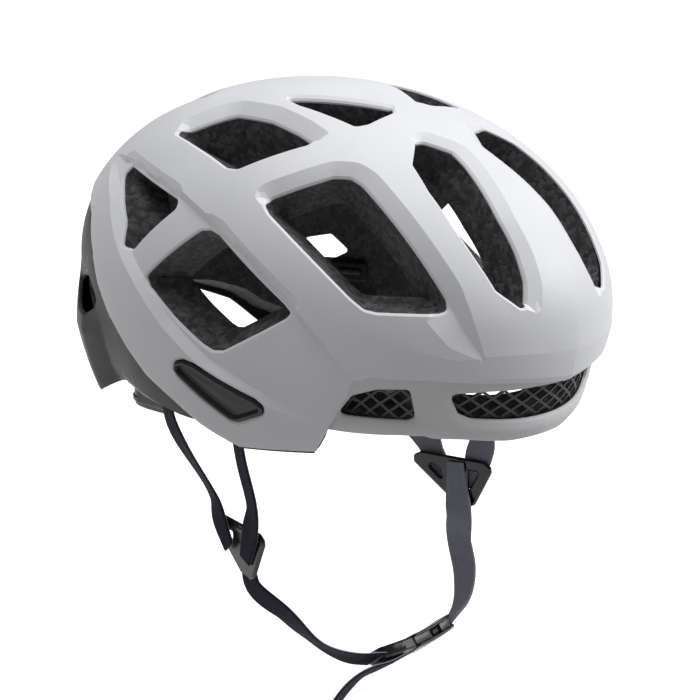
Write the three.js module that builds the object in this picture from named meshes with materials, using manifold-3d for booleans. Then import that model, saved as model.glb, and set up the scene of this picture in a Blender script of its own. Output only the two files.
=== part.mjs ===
// A road cycling helmet: in-moulded white shell over a foam liner, dark rear shell, recessed brow
// band with a net behind its openings, head-ring with a fit dial, webbing straps and chin buckle.
// Millimetres, +Z up. The helmet faces -Y, the wearer's right side is -X, and the height zero is
// the lowest edge of the brow band.
import * as THREE from "three";
import { mergeVertices } from "three/addons/utils/BufferGeometryUtils.js";
import Module from "manifold-3d";

const wasm = await Module();
wasm.setup();

// ---------------------------------------------------------------- driving dimensions
const DOME_CENTRE = new THREE.Vector3(0, 0, 56); // all dome surfaces are radii from here
const HALF_WIDTH = 100;
const HALF_LENGTH = 141;
const CROWN_RISE = 87;
const LOWER_DROP = 135; // the same ellipsoid is longer below its centre, so the sides hang steeply
const NOSE_RISE = 5; // the front swells out this much more than the ellipsoid
const NOSE_SPREAD = 24; // degrees

const SHELL = 1.4; // plastic skin
const GAP = 0.3; // between pieces that touch
const LINER = 24; // foam thickness
const BROW_RECESS = 6; // the brow band sits this much under the brim
const BROW_WALL = 1.6;
const NET_WALL = 0.8;
const NET_GAP = 0.8; // between the band and the net, and between the net and the foam
const REAR_RECESS = 2;
const REAR_WALL = 1.6;
const REAR_GAP = 1.2; // between the rear shell and the foam
const LOBE_RISE = 6.5; // raised block on each lower rear corner
const LOBE_MIDDLE = 141; // azimuth, in degrees, as is its half width
const LOBE_HALF = 12;
const LOBE_TOP = 0.35; // share of the rear shell's height at which the block starts to rise
const LOBE_SLOPE = 0.3; // and the share that its slope takes
const LOBE_STEEP = 1.6; // the block's sides reach full height this many times sooner than its middle
const POD_DEPTH = 3.6;
const PAD = 6;
const PAD_GAP = 1.8; // clears the flats of the faceted liner
const CUT_IN = 0.35; // vent cutters reach from this share of the dome radius
const CUT_OUT = 1.3; // to this one

const WEB = 15; // webbing width
const WEB_THICK = 1.2;

// Heights of the edges round one side: [azimuth from the front in degrees, height].
const SHELL_EDGE = [
  [0, 30], [10, 32], [26, 34], [35, 34], [39.5, 33], [49, -2], [60, -4], [72, -6], [85, 1],
  [95, 10], [105, 18], [113, 29], [121, 42], [126, 53], [130, 66], [138, 80], [150, 86],
  [165, 84], [180, 78],
];
const RIM_EDGE = [
  [0, 0], [7, 0], [17, 3], [24, 4], [35, 5], [46.5, 7], [49, -2], [60, -4], [72, -6], [85, 1],
  [95, 0], [113, 2], [124, 6], [132, 2], [142, -4], [151, -6], [156, 3], [161, 13], [169, 20],
  [180, 23],
];
const LINER_EDGE = [
  [0, 1.5], [17, 4.5], [35, 6.5], [46, 8.5], [49, 0], [60, -2], [72, -4], [85, 3], [113, 5],
  [124, 8], [142, 4], [151, 4], [156, 8], [161, 16], [169, 22], [180, 25],
];
const BROW_END = 46; // the brow band spans this many degrees to each side
const AZIMUTH_STEPS = [
  0, 8, 17, 26, 35, 39.5, 46, 49, 60, 72, 85, 95, 105, 113, 121, 129, 135, 142, 151, 156, 161, 165,
  169, 180,
];

// ---------------------------------------------------------------- outlines of the right side
const VENTS = {
  front: [
    [-22, -73, 128], [-17, -74, 129], [-10, -86, 125], [-11, -94, 120], [-14, -107, 112],
    [-17, -119, 101], [-18, -131, 87], [-20, -138, 76], [-23, -140, 67], [-26, -139, 66],
    [-34, -132, 74], [-37, -122, 88], [-38, -112, 98], [-37, -96, 112], [-33, -82, 121],
  ],
  top: [
    [-30, 2, 139], [-19, -25, 140], [-9, -46, 138], [-12, -50, 137], [-28, -50, 134],
    [-33, -47, 133], [-33, -30, 135], [-33, -11, 138],
  ],
  upper_rear: [
    [-58, 45, 121], [-46, 25, 132], [-44, 20, 133], [-45, -4, 134], [-48, -26, 131],
    [-50, -38, 128], [-53, -38, 127], [-73, -14, 115], [-74, -8, 115], [-71, 6, 118],
  ],
  side_rear: [
    [-66, 70, 105], [-86, 15, 100], [-88, 14, 96], [-94, 37, 74], [-92, 43, 74], [-87, 51, 85],
    [-78, 63, 94], [-68, 73, 100],
  ],
  lower_side: [
    [-98, 25, 64], [-92, -7, 90], [-91, -13, 91], [-90, -19, 89], [-89, -59, 65],
    [-89, -64, 61], [-90, -61, 58], [-97, -27, 38], [-98, -21, 37], [-98, -15, 39],
    [-100, 2, 48], [-99, 21, 60],
  ],
  upper_side: [
    [-77, -38, 107], [-58, -59, 117], [-54, -66, 117], [-53, -72, 114], [-50, -120, 70],
    [-51, -122, 66], [-54, -120, 65], [-71, -98, 65], [-74, -94, 66], [-76, -88, 70],
    [-80, -42, 100], [-80, -38, 104],
  ],
  back_top: [
    [-10, 66, 134], [-26, 60, 133], [-33, 88, 119], [-30, 98, 112], [-11, 108, 112],
  ],
  back_low: [
    [-9, 130, 70], [-32, 121, 72], [-42, 112, 60], [-34, 119, 46], [-9, 130, 44],
  ],
  corner: [
    [-70, 101, 47], [-80, 85, 51], [-85, 72, 40], [-80, 82, 34], [-73, 94, 34],
  ],
};
const BROW_CENTRE = [
  [-48, -122, 27], [-33, -130, 28], [-12, -138, 28], [12, -138, 28], [33, -130, 28],
  [48, -122, 27], [43, -123, 17], [38, -126, 14], [5, -137, 11], [-5, -137, 11], [-38, -126, 14],
  [-43, -123, 17],
];
const BROW_SIDE = [
  [-61, -112, 28], [-70, -99, 28], [-75, -88, 25], [-77, -80, 15], [-58, -108, 12],
  [-56, -110, 14],
];
const POD = [
  [-98, 3, 26], [-98, 1, 30], [-98, -5, 32], [-98, -12, 31], [-91, -44, 20], [-90, -48, 17],
  [-89, -47, 13], [-90, -32, 7], [-91, -28, 7], [-95, -13, 15], [-97, 0, 23],
];

// ---------------------------------------------------------------- dome directions and radii
const rad = THREE.MathUtils.degToRad;
const deg = THREE.MathUtils.radToDeg;

// Azimuth 0 is the front, 90 the wearer's right, 180 the back; polar angle 0 is straight up.
function direction(azimuth, polar) {
  const across = Math.sin(rad(polar));
  return new THREE.Vector3(
    -Math.sin(rad(azimuth)) * across,
    -Math.cos(rad(azimuth)) * across,
    Math.cos(rad(polar)),
  );
}

function directionTo(point) {
  return new THREE.Vector3(...point).sub(DOME_CENTRE).normalize();
}

const NOSE = new THREE.Vector3(0, -1, -0.15).normalize();

function domeRadius(dir) {
  const down = dir.z > 0 ? CROWN_RISE : LOWER_DROP;
  const round = Math.hypot(dir.x / HALF_WIDTH, dir.y / HALF_LENGTH, dir.z / down);
  const away = deg(dir.angleTo(NOSE)) / NOSE_SPREAD;
  return 1 / round + NOSE_RISE * Math.exp(-away * away);
}

function onDome(dir, radius) {
  return dir.clone().multiplyScalar(radius).add(DOME_CENTRE);
}

// The polar angle at which the dome's surface has this height, found by halving.
function polarAtHeight(azimuth, height) {
  let above = 5;
  let below = 150;
  for (let i = 0; i < 40; i++) {
    const middle = (above + below) / 2;
    const dir = direction(azimuth, middle);
    if (onDome(dir, domeRadius(dir)).z > height) above = middle;
    else below = middle;
  }
  return (above + below) / 2;
}

function heightOn(edge, azimuth) {
  const a = Math.abs(azimuth > 180 ? 360 - azimuth : azimuth);
  const i = Math.max(1, edge.findIndex((knot) => knot[0] >= a));
  const [a0, z0] = edge[i - 1];
  const [a1, z1] = edge[i];
  return THREE.MathUtils.lerp(z0, z1, (a - a0) / (a1 - a0));
}

function edgePolar(edge, azimuth) {
  return polarAtHeight(azimuth, heightOn(edge, azimuth));
}

function allRound() {
  const left = AZIMUTH_STEPS.slice(1, -1).reverse().map((a) => 360 - a);
  return [...AZIMUTH_STEPS, ...left];
}

function spread(from, to) {
  const inside = AZIMUTH_STEPS.flatMap((a) => (a === 0 ? [0] : [a, -a]));
  const kept = inside.filter((a) => a > from + 0.5 && a < to - 0.5);
  return [from, ...kept, to].sort((a, b) => a - b);
}

// ---------------------------------------------------------------- meshes and solids
function weld(positions) {
  const raw = new THREE.BufferGeometry();
  raw.setAttribute("position", new THREE.Float32BufferAttribute(positions, 3));
  const merged = mergeVertices(raw, 1e-4);
  const index = merged.index.array;
  const kept = [];
  for (let i = 0; i < index.length; i += 3) {
    const [a, b, c] = [index[i], index[i + 1], index[i + 2]];
    if (a !== b && b !== c && c !== a) kept.push(a, b, c);
  }
  merged.setIndex(kept);
  return merged;
}

function solidOf(geometry) {
  const bare = geometry.clone();
  for (const name of Object.keys(bare.attributes)) {
    if (name !== "position") bare.deleteAttribute(name);
  }
  const merged = mergeVertices(bare, 1e-4);
  return new wasm.Manifold(new wasm.Mesh({
    numProp: 3,
    vertProperties: new Float32Array(merged.attributes.position.array),
    triVerts: new Uint32Array(merged.index.array),
  }));
}

function geometryOf(solid) {
  const mesh = solid.getMesh();
  const geometry = new THREE.BufferGeometry();
  geometry.setAttribute("position", new THREE.BufferAttribute(mesh.vertProperties, 3));
  geometry.setIndex(new THREE.BufferAttribute(mesh.triVerts, 1));
  return geometry;
}

function joined(...geometries) {
  return geometryOf(geometries.map(solidOf).reduce((all, one) => all.add(one)));
}

function cut(geometry, ...cutters) {
  return geometryOf(cutters.map(solidOf).reduce((left, one) => left.subtract(one), solidOf(geometry)));
}

// A closed body between two layers of points: columns[i][j] holds {outer, inner} points, columns
// run one way round and their points run downwards. A cyclic body closes on its first column.
function layerBody(columns, cyclic) {
  const positions = [];
  const quad = (a, b, c, d) => {
    for (const p of [a, b, c, a, c, d]) positions.push(p.x, p.y, p.z);
  };
  const last = columns[0].length - 1;
  const spans = cyclic ? columns.length : columns.length - 1;
  for (let i = 0; i < spans; i++) {
    const here = columns[i];
    const next = columns[(i + 1) % columns.length];
    for (let j = 0; j < last; j++) {
      quad(here[j].outer, here[j + 1].outer, next[j + 1].outer, next[j].outer);
      quad(here[j].inner, next[j].inner, next[j + 1].inner, here[j + 1].inner);
    }
    quad(here[0].outer, next[0].outer, next[0].inner, here[0].inner);
    quad(here[last].outer, here[last].inner, next[last].inner, next[last].outer);
  }
  if (!cyclic) {
    const first = columns[0];
    const end = columns[columns.length - 1];
    for (let j = 0; j < last; j++) {
      quad(first[j].outer, first[j].inner, first[j + 1].inner, first[j + 1].outer);
      quad(end[j].outer, end[j + 1].outer, end[j + 1].inner, end[j].inner);
    }
  }
  return facingOut(weld(positions));
}

function signedVolume(geometry) {
  const index = geometry.index.array;
  const at = geometry.attributes.position;
  const [a, b, c] = [new THREE.Vector3(), new THREE.Vector3(), new THREE.Vector3()];
  let total = 0;
  for (let i = 0; i < index.length; i += 3) {
    a.fromBufferAttribute(at, index[i]);
    b.fromBufferAttribute(at, index[i + 1]);
    c.fromBufferAttribute(at, index[i + 2]);
    total += a.dot(b.cross(c)) / 6;
  }
  return total;
}

function facingOut(geometry) {
  if (signedVolume(geometry) < 0) {
    const index = geometry.index.array;
    for (let i = 0; i < index.length; i += 3) [index[i], index[i + 1]] = [index[i + 1], index[i]];
  }
  return geometry;
}

function mirrored(geometry) {
  return facingOut(geometry.clone().applyMatrix4(new THREE.Matrix4().makeScale(-1, 1, 1)));
}

const mirrorPoint = ([x, y, z]) => [-x, y, z];

// A block with this outline, whose walls all run towards the dome's centre.
function radialPrism(outline, innerRadius, outerRadius) {
  const dirs = outline.map(directionTo);
  const middle = dirs.reduce((sum, d) => sum.add(d), new THREE.Vector3()).normalize();
  const flat = new THREE.Quaternion().setFromUnitVectors(middle, new THREE.Vector3(0, 0, 1));
  const drawn = dirs.map((d) => {
    const turned = d.clone().applyQuaternion(flat);
    return new THREE.Vector2(turned.x / turned.z, turned.y / turned.z);
  });
  if (THREE.ShapeUtils.isClockWise(drawn)) {
    drawn.reverse();
    dirs.reverse();
  }
  const positions = [];
  const add = (...points) => points.forEach((p) => positions.push(p.x, p.y, p.z));
  const outer = dirs.map((d) => onDome(d, outerRadius(d)));
  const inner = dirs.map((d) => onDome(d, innerRadius(d)));
  for (const [a, b, c] of THREE.ShapeUtils.triangulateShape(drawn, [])) {
    add(outer[a], outer[b], outer[c]);
    add(inner[a], inner[c], inner[b]);
  }
  dirs.forEach((_, i) => {
    const k = (i + 1) % dirs.length;
    add(outer[i], inner[i], inner[k]);
    add(outer[i], inner[k], outer[k]);
  });
  return facingOut(weld(positions));
}

// The outline drawn in towards its middle by this distance.
function shrunk(outline, by) {
  const middle = [0, 1, 2].map((k) => outline.reduce((sum, p) => sum + p[k], 0) / outline.length);
  return outline.map((p) => {
    const reach = Math.hypot(...p.map((v, k) => v - middle[k]));
    return p.map((v, k) => v + ((middle[k] - v) * by) / reach);
  });
}

const ventCutter = (outline) => radialPrism(outline,
  (d) => CUT_IN * domeRadius(d), (d) => CUT_OUT * domeRadius(d));

// A flat strap through these points; faces holds the way its outer face looks at each of them.
function webbing(points, faces, steps, width = WEB, thick = WEB_THICK) {
  const curve = new THREE.CatmullRomCurve3(points.map((p) => new THREE.Vector3(...p)));
  curve.curveType = "centripetal";
  const columns = [];
  for (let i = 0; i <= steps; i++) {
    const t = i / steps;
    const along = curve.getTangent(t);
    const place = t * (faces.length - 1);
    const k = Math.min(Math.floor(place), faces.length - 2);
    const face = new THREE.Vector3(...faces[k]).lerp(new THREE.Vector3(...faces[k + 1]), place - k);
    face.addScaledVector(along, -face.dot(along)).normalize();
    const side = new THREE.Vector3().crossVectors(along, face).multiplyScalar(width / 2);
    const centre = curve.getPoint(t);
    const corner = (s, f) => centre.clone().addScaledVector(side, s).addScaledVector(face, f * thick / 2);
    columns.push([-1, 1].map((s) => ({ outer: corner(s, 1), inner: corner(s, -1) })));
  }
  return layerBody(columns, false);
}

function slab(width, depth, height, x, y, z) {
  return new THREE.BoxGeometry(width, depth, height).translate(x, y, z);
}

// A flat plate with this outline and holes in X and Y, from z = 0 to its thickness.
function plate(outline, thick, holes = []) {
  const toPoints = (list) => list.map(([x, y]) => new THREE.Vector2(x, y));
  const shape = new THREE.Shape(toPoints(outline));
  shape.holes = holes.map((hole) => new THREE.Path(toPoints(hole)));
  return new THREE.ExtrudeGeometry(shape, { depth: thick, bevelEnabled: false, steps: 1 });
}

const group = new THREE.Group();

function add(name, geometry, colour, roughness, parent = group) {
  const faceted = geometry.index ? geometry.toNonIndexed() : geometry;
  faceted.computeVertexNormals();
  const material = new THREE.MeshStandardMaterial({ color: colour, roughness, metalness: 0 });
  const mesh = new THREE.Mesh(faceted, material);
  mesh.name = name;
  parent.add(mesh);
  return mesh;
}

const WHITE = 0xdedfe4;
const BAND = 0xcfcfd2;
const DARK = 0x2c2c2e;
const FOAM = 0x26262a;
const BLACK = 0x19191b;
const NAVY = 0x15152a;
const CLOTH = 0x202024;

// ---------------------------------------------------------------- shells and liner
const CROWN_ROWS = 7; // rows of facets from the crown to the shell's lower edge
const LOWER_ROWS = 2;

function lobe(azimuth, share) {
  const a = azimuth > 180 ? 360 - azimuth : azimuth;
  const round = Math.max(0, 1 - Math.abs(a - LOBE_MIDDLE) / LOBE_HALF);
  const down = THREE.MathUtils.clamp((share - LOBE_TOP) / LOBE_SLOPE, 0, 1);
  return LOBE_RISE * Math.min(1, round * LOBE_STEEP) * down;
}

function column(azimuth, polars, outer, inner) {
  return polars.map((polar, j) => {
    const dir = direction(azimuth, polar);
    return { outer: onDome(dir, outer(dir, j)), inner: onDome(dir, inner(dir, j)) };
  });
}

function rowsBetween(from, to, rows) {
  return Array.from({ length: rows + 1 }, (_, j) => THREE.MathUtils.lerp(from, to, j / rows));
}

const outerShell = layerBody(allRound().map((a) => column(
  a,
  rowsBetween(0, edgePolar(SHELL_EDGE, a), CROWN_ROWS),
  domeRadius,
  (d) => domeRadius(d) - SHELL,
)), true);

const innerRadius = (d) => domeRadius(d) - LINER;
const LOWER_START = 0.5; // degrees of step between the shell's edge and what lies below it

function linerRecess(azimuth) {
  const a = azimuth > 180 ? 360 - azimuth : azimuth;
  if (a <= BROW_END) return BROW_RECESS + BROW_WALL + NET_WALL + 2 * NET_GAP - SHELL - GAP;
  if (a >= 85) return REAR_RECESS + REAR_WALL + REAR_GAP - SHELL - GAP;
  return 0;
}

const liner = layerBody(allRound().map((a) => {
  const edge = edgePolar(SHELL_EDGE, a);
  const low = Math.max(edge + 2 * LOWER_START, edgePolar(LINER_EDGE, a));
  const polars = [
    ...rowsBetween(0, edge, CROWN_ROWS),
    ...rowsBetween(edge + LOWER_START, low, LOWER_ROWS),
  ];
  const outer = (d, j) => domeRadius(d) - SHELL - GAP - (j > CROWN_ROWS ? linerRecess(a) : 0);
  return column(a, polars, outer, innerRadius);
}), true);

const browShell = layerBody(spread(-BROW_END, BROW_END).map((a) => column(
  a,
  rowsBetween(
    edgePolar(SHELL_EDGE, a) + LOWER_START,
    Math.max(edgePolar(RIM_EDGE, a), edgePolar(SHELL_EDGE, a) + 1.5), 3),
  (d) => domeRadius(d) - BROW_RECESS,
  (d) => domeRadius(d) - BROW_RECESS - BROW_WALL,
)), false);

const REAR_START = 88; // azimuth at which the dark rear shell comes out from under the white one
const rearAzimuths = [
  REAR_START, ...allRound().filter((a) => a > REAR_START + 1 && a < 359 - REAR_START),
  360 - REAR_START,
];
const rearShell = layerBody(rearAzimuths.map((a) => column(
  a,
  rowsBetween(edgePolar(SHELL_EDGE, a) + LOWER_START, edgePolar(RIM_EDGE, a) + 0.4, 5),
  (d, j) => domeRadius(d) - REAR_RECESS + lobe(a, j / 5),
  (d) => domeRadius(d) - REAR_RECESS - REAR_WALL,
)), false);

const cutters = Object.values(VENTS).flatMap((outline) => [
  ventCutter(outline), ventCutter(outline.map(mirrorPoint)),
]);
const browCutters = [BROW_CENTRE, BROW_SIDE, BROW_SIDE.map(mirrorPoint)].map(ventCutter);
const podPocket = (outline) => radialPrism(outline,
  (d) => domeRadius(d) - POD_DEPTH - 4 * GAP, (d) => CUT_OUT * domeRadius(d));
const podCutters = [podPocket(POD), podPocket(POD.map(mirrorPoint))];

add("outer_shell", cut(outerShell, ...cutters, ...podCutters), WHITE, 0.45);
add("brow_shell", cut(browShell, ...browCutters), BAND, 0.45);
add("rear_shell", cut(rearShell, ...cutters), DARK, 0.5);
add("eps_liner", cut(liner, ...cutters, ...browCutters, ...podCutters), FOAM, 0.95);

const podSolid = radialPrism(shrunk(POD, 0.5),
  (d) => domeRadius(d) - POD_DEPTH, (d) => domeRadius(d) + 0.4);
add("side_pod_right", podSolid, BLACK, 0.4);
add("side_pod_left", mirrored(podSolid), BLACK, 0.4);

// Nets behind the brow openings: one across the centre and one at each side.
const NET_FOOT = 8.5; // height of their lower edges
const NET_HALF = 24; // degrees, like the ends of the right side net
const NET_SIDE = [25.5, 43];

function net(from, to) {
  return layerBody(spread(from, to).map((a) => column(
    a,
    rowsBetween(edgePolar(SHELL_EDGE, a) + LOWER_START + 0.6, polarAtHeight(a, NET_FOOT), 2),
    (d) => domeRadius(d) - BROW_RECESS - BROW_WALL - NET_GAP,
    (d) => domeRadius(d) - BROW_RECESS - BROW_WALL - NET_GAP - NET_WALL,
  )), false);
}
add("brow_net_centre", net(-NET_HALF, NET_HALF), BLACK, 0.8);
add("brow_net_right", net(NET_SIDE[0], NET_SIDE[1]), BLACK, 0.8);
add("brow_net_left", net(-NET_SIDE[1], -NET_SIDE[0]), BLACK, 0.8);

// ---------------------------------------------------------------- comfort pads
const padOuter = (d) => innerRadius(d) - PAD_GAP;
const padInner = (d) => innerRadius(d) - PAD_GAP - PAD;

const BROW_PAD = { half: 36, top: 57, foot: 36 }; // half its spread in degrees, and its heights
const browPad = layerBody(spread(-BROW_PAD.half, BROW_PAD.half).map((a) => column(
  a,
  rowsBetween(polarAtHeight(a, BROW_PAD.top), polarAtHeight(a, BROW_PAD.foot), 2),
  padOuter,
  padInner,
)), false);
add("brow_pad", browPad, CLOTH, 0.95);

// A pad lying along the inside of a rib: its middle line and its half width.
function ribPad(line, half) {
  const curve = new THREE.CatmullRomCurve3(line.map((p) => new THREE.Vector3(...p)));
  const stations = 8;
  const columns = [];
  for (let i = 0; i <= stations; i++) {
    const centre = curve.getPoint(i / stations);
    const across = new THREE.Vector3().crossVectors(
      curve.getTangent(i / stations), centre.clone().sub(DOME_CENTRE)).normalize();
    columns.push([-half, 0, half].map((s) => {
      const dir = directionTo(centre.clone().addScaledVector(across, s).toArray());
      return { outer: onDome(dir, padOuter(dir)), inner: onDome(dir, padInner(dir)) };
    }));
  }
  return layerBody(columns, false);
}
const RIB_PAD_HALF = 9;
const sidePad = ribPad([[-44, -66, 122], [-40, -30, 134], [-37, 10, 137], [-40, 44, 131]], RIB_PAD_HALF);
const centrePad = ribPad([[0, -70, 128], [0, -20, 142], [0, 30, 141], [0, 62, 134]], RIB_PAD_HALF);
add("crown_pad_centre", centrePad, CLOTH, 0.95);
add("crown_pad_right", sidePad, CLOTH, 0.95);
add("crown_pad_left", mirrored(sidePad), CLOTH, 0.95);

// ---------------------------------------------------------------- head ring and fit dial
const PIVOT = [-64, -44, 22]; // temple pin of the right arm; it turns about X
const PIN_RADIUS = 3;
const EYE_RADIUS = 7;
const HEAD_RADIUS = 5;
const ARM_THICK = 1.6;
const ARM_X = PIVOT[0] + 3.5; // middle of the arm's thickness at the pin
const RAIL_X = 50; // the arms' straight rear ends slide in the cradle's sleeves
const RAIL_Z = -7;
const ARM_HEIGHT = 10;
const ARM_END = 66; // still clear of the cradle's bend when the ring is drawn tight

function pin(radius, from, to, [, y, z], sides = 20) {
  return new THREE.CylinderGeometry(radius, radius, to - from, sides)
    .rotateZ(Math.PI / 2).translate((from + to) / 2, y, z);
}

// The arm's front end is flat and stands across X, so that it turns on its pin.
const ARM_PATH = [
  [ARM_X, PIVOT[1] - 6, PIVOT[2]], [ARM_X, PIVOT[1] + 8, PIVOT[2] - 3], [-63, -16, 13],
  [-63, 0, 6], [-60, 16, 0], [-55, 29, -4.5], [-51, 38, -6.6], [-RAIL_X, 45, RAIL_Z], [-RAIL_X, 56, RAIL_Z],
  [-RAIL_X, ARM_END, RAIL_Z],
];
const armBand = webbing(ARM_PATH, [[-1, 0, 0], [-1, 0, 0]], 22, ARM_HEIGHT, ARM_THICK);
const armEye = pin(EYE_RADIUS, ARM_X - ARM_THICK / 2, ARM_X + ARM_THICK / 2, PIVOT, 24);
const arm = cut(joined(armBand, armEye), pin(PIN_RADIUS + GAP, -75, -50, PIVOT));
add("cradle_arm_right", arm, BLACK, 0.5);
add("cradle_arm_left", mirrored(arm), BLACK, 0.5);

// Anchor: a plate lying on the foam, a pin through the arm's eye, and the pin's head.
const ANCHOR = { azimuth: 55, top: 30, foot: 11, thick: 2 };
const anchorPlate = layerBody([-8, -4, 0, 4, 8].map((step) => {
  const azimuth = ANCHOR.azimuth + step;
  return column(
    azimuth,
    rowsBetween(polarAtHeight(azimuth, ANCHOR.top), polarAtHeight(azimuth, ANCHOR.foot), 2),
    (d) => innerRadius(d) - PAD_GAP,
    (d) => innerRadius(d) - PAD_GAP - ANCHOR.thick,
  );
}), false);
const anchor = joined(
  anchorPlate,
  pin(PIN_RADIUS, PIVOT[0] - 0.4, PIVOT[0] + 5.5, PIVOT),
  pin(HEAD_RADIUS, PIVOT[0] + 4.7, PIVOT[0] + 6.2, PIVOT),
);
add("temple_anchor_right", anchor, DARK, 0.5);
add("temple_anchor_left", mirrored(anchor), DARK, 0.5);

const CRADLE_BACK = 101;
const CRADLE_THICK = 2.4;
const CRADLE_HEIGHT = 20;
const cradlePath = [
  [-RAIL_X, 62, RAIL_Z], [-RAIL_X, 78, RAIL_Z], [-47, 87, -7.5], [-37, 95.5, -8.5], [-20, 100, -10],
  [0, CRADLE_BACK, -10],
];
const cradleBand = webbing(
  [...cradlePath, ...cradlePath.slice(0, -1).reverse().map(mirrorPoint)],
  [[-1, 0, 0], [-1, 0, 0], [-0.7, 0.7, 0], [0, 1, 0], [0.7, 0.7, 0], [1, 0, 0], [1, 0, 0]],
  30, CRADLE_HEIGHT, CRADLE_THICK);
const SLEEVE = { width: 6.6, height: 15, from: 58, to: 80 };
const sleeveLength = SLEEVE.to - SLEEVE.from;
const sleeveMiddle = (SLEEVE.to + SLEEVE.from) / 2;
const sleeveAt = (x) => slab(SLEEVE.width, sleeveLength, SLEEVE.height, x, sleeveMiddle, RAIL_Z);
const channelAt = (x) => slab(
  ARM_THICK + 2.2, sleeveLength + 20, ARM_HEIGHT + 1.2, x, sleeveMiddle - 9, RAIL_Z);
const cradle = cut(joined(cradleBand, sleeveAt(-RAIL_X), sleeveAt(RAIL_X)),
  channelAt(-RAIL_X), channelAt(RAIL_X));
add("cradle", cradle, BLACK, 0.5);

const DIAL = { z: -14, radius: 17, thick: 8, teeth: 18, toothDepth: 1.1 };
const HOUSING = { width: 46, height: 30, depth: 8, wall: 2, z: -12 };
const housingFront = CRADLE_BACK + CRADLE_THICK / 2 + GAP;
const housingBack = housingFront + HOUSING.depth;
const roundedBox = (w, h, r) => [
  [-w + r, -h], [w - r, -h], [w, -h + r], [w, h - r], [w - r, h], [-w + r, h], [-w, h - r], [-w, -h + r],
];
// A plate drawn in X and Z, whose back face has this Y.
const standing = (geometry, y, z) => geometry.rotateX(Math.PI / 2).translate(0, y, z);
const housingBlock = standing(plate(roundedBox(HOUSING.width / 2, HOUSING.height / 2, 7), HOUSING.depth),
  housingBack, HOUSING.z);
const pinionRoom = standing(plate(roundedBox(11, 9, 3), HOUSING.depth - HOUSING.wall),
  housingBack - HOUSING.wall, DIAL.z);
const dialAxis = (radius, from, to) => new THREE.CylinderGeometry(radius, radius, to - from, 20)
  .translate(0, (from + to) / 2, DIAL.z);
const housing = cut(housingBlock, pinionRoom, dialAxis(3.3, housingFront, housingBack + 5));
add("dial_housing", housing, DARK, 0.45);

const gearOutline = (teeth, root, tip) => Array.from({ length: teeth * 4 }, (_, i) => {
  const turn = (i / (teeth * 4)) * 2 * Math.PI;
  const reach = i % 4 < 2 ? tip : root;
  return [reach * Math.cos(turn), reach * Math.sin(turn)];
});
const dialFront = housingBack + GAP + 0.2;
const dialBody = standing(
  plate(gearOutline(DIAL.teeth, DIAL.radius - DIAL.toothDepth, DIAL.radius), DIAL.thick),
  dialFront + DIAL.thick, DIAL.z);
add("dial", joined(dialBody, dialAxis(3, housingFront + 5.6, dialFront + 1)), BLACK, 0.5);
const pinionBack = housingFront + 5.2;
add("dial_pinion", standing(plate(gearOutline(8, 4.6, 6.2), 4.4), pinionBack, DIAL.z), DARK, 0.5);

const occipitalPad = webbing(
  [[-40, 87.4, -8.5], [-33, 92, -9], [-24, 94.8, -9.5], [-13, 96.3, -10]],
  [[-0.7, 0.9, 0], [0, 1, 0]], 6, 15, 3.4);
add("occipital_pad_right", occipitalPad, CLOTH, 0.95);
add("occipital_pad_left", mirrored(occipitalPad), CLOTH, 0.95);

// ---------------------------------------------------------------- strap dividers
// Each divider is a triangular plate. Its own axes: u forward, v up, and out away from the head.
const DIVIDERS = {
  right: { centre: [-66, -6, -62], side: -1 },
  left: { centre: [66, -13, -57], side: 1 },
};
const DIVIDER_TURN = 13; // degrees: its front corner stands out from the head
const DIVIDER_THICK = 2.4;
const DIVIDER_OUTLINE = [
  [-21.5, 8.5], [-21.5, 5], [2, -12], [10, -13], [13, -11.5], [22, 6], [21.5, 9], [18, 11], [-17, 11],
];
const DIVIDER_WINDOWS = [
  [[-14, 5.5], [-5, 5.5], [-5, -1.5]],
  [[9, 5.5], [15.5, 5.5], [9, -6.5]],
];

function onDivider({ centre, side }, u, v, out) {
  const turn = rad(DIVIDER_TURN);
  return [
    centre[0] + side * (u * Math.sin(turn) + out * Math.cos(turn)),
    centre[1] - u * Math.cos(turn) + out * Math.sin(turn),
    centre[2] + v,
  ];
}

function outwards({ side }) {
  return [side * Math.cos(rad(DIVIDER_TURN)), Math.sin(rad(DIVIDER_TURN)), 0];
}

function dividerBody(divider) {
  const flat = plate(DIVIDER_OUTLINE, DIVIDER_THICK, DIVIDER_WINDOWS).translate(0, 0, -DIVIDER_THICK / 2);
  const u = new THREE.Vector3(...onDivider(divider, 1, 0, 0)).sub(new THREE.Vector3(...divider.centre));
  const v = new THREE.Vector3(0, 0, 1);
  const out = new THREE.Vector3(...outwards(divider));
  flat.applyMatrix4(new THREE.Matrix4().makeBasis(u, v, out));
  flat.translate(...divider.centre);
  return facingOut(mergeVertices(withoutExtras(flat), 1e-4));
}

function withoutExtras(geometry) {
  geometry.deleteAttribute("normal");
  geometry.deleteAttribute("uv");
  return geometry;
}

add("divider_right", dividerBody(DIVIDERS.right), BLACK, 0.45);
add("divider_left", dividerBody(DIVIDERS.left), BLACK, 0.45);

// ---------------------------------------------------------------- straps down to the dividers
const UNDER = DIVIDER_THICK / 2 + WEB_THICK / 2 + 0.35; // a strap lying on the divider's face
const OVER = UNDER + WEB_THICK + 0.35; // a strap lying on that strap

function strapSet(name, divider, front, rear) {
  const out = outwards(divider);
  const side = [divider.side, 0, 0];
  const frontPath = [
    ...front, onDivider(divider, 15, 22, UNDER), onDivider(divider, 13, 11, UNDER),
    onDivider(divider, 8, -4, UNDER),
  ];
  const rearPath = [
    ...rear, onDivider(divider, -19, 20, OVER), onDivider(divider, -12, 9, OVER),
    onDivider(divider, 0, -4, OVER),
  ];
  add(`strap_front_${name}`, webbing(frontPath, [side, side, out, out], 16), NAVY, 0.85);
  add(`strap_rear_${name}`, webbing(rearPath, [side, side, out, out], 16), NAVY, 0.85);
}

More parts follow.
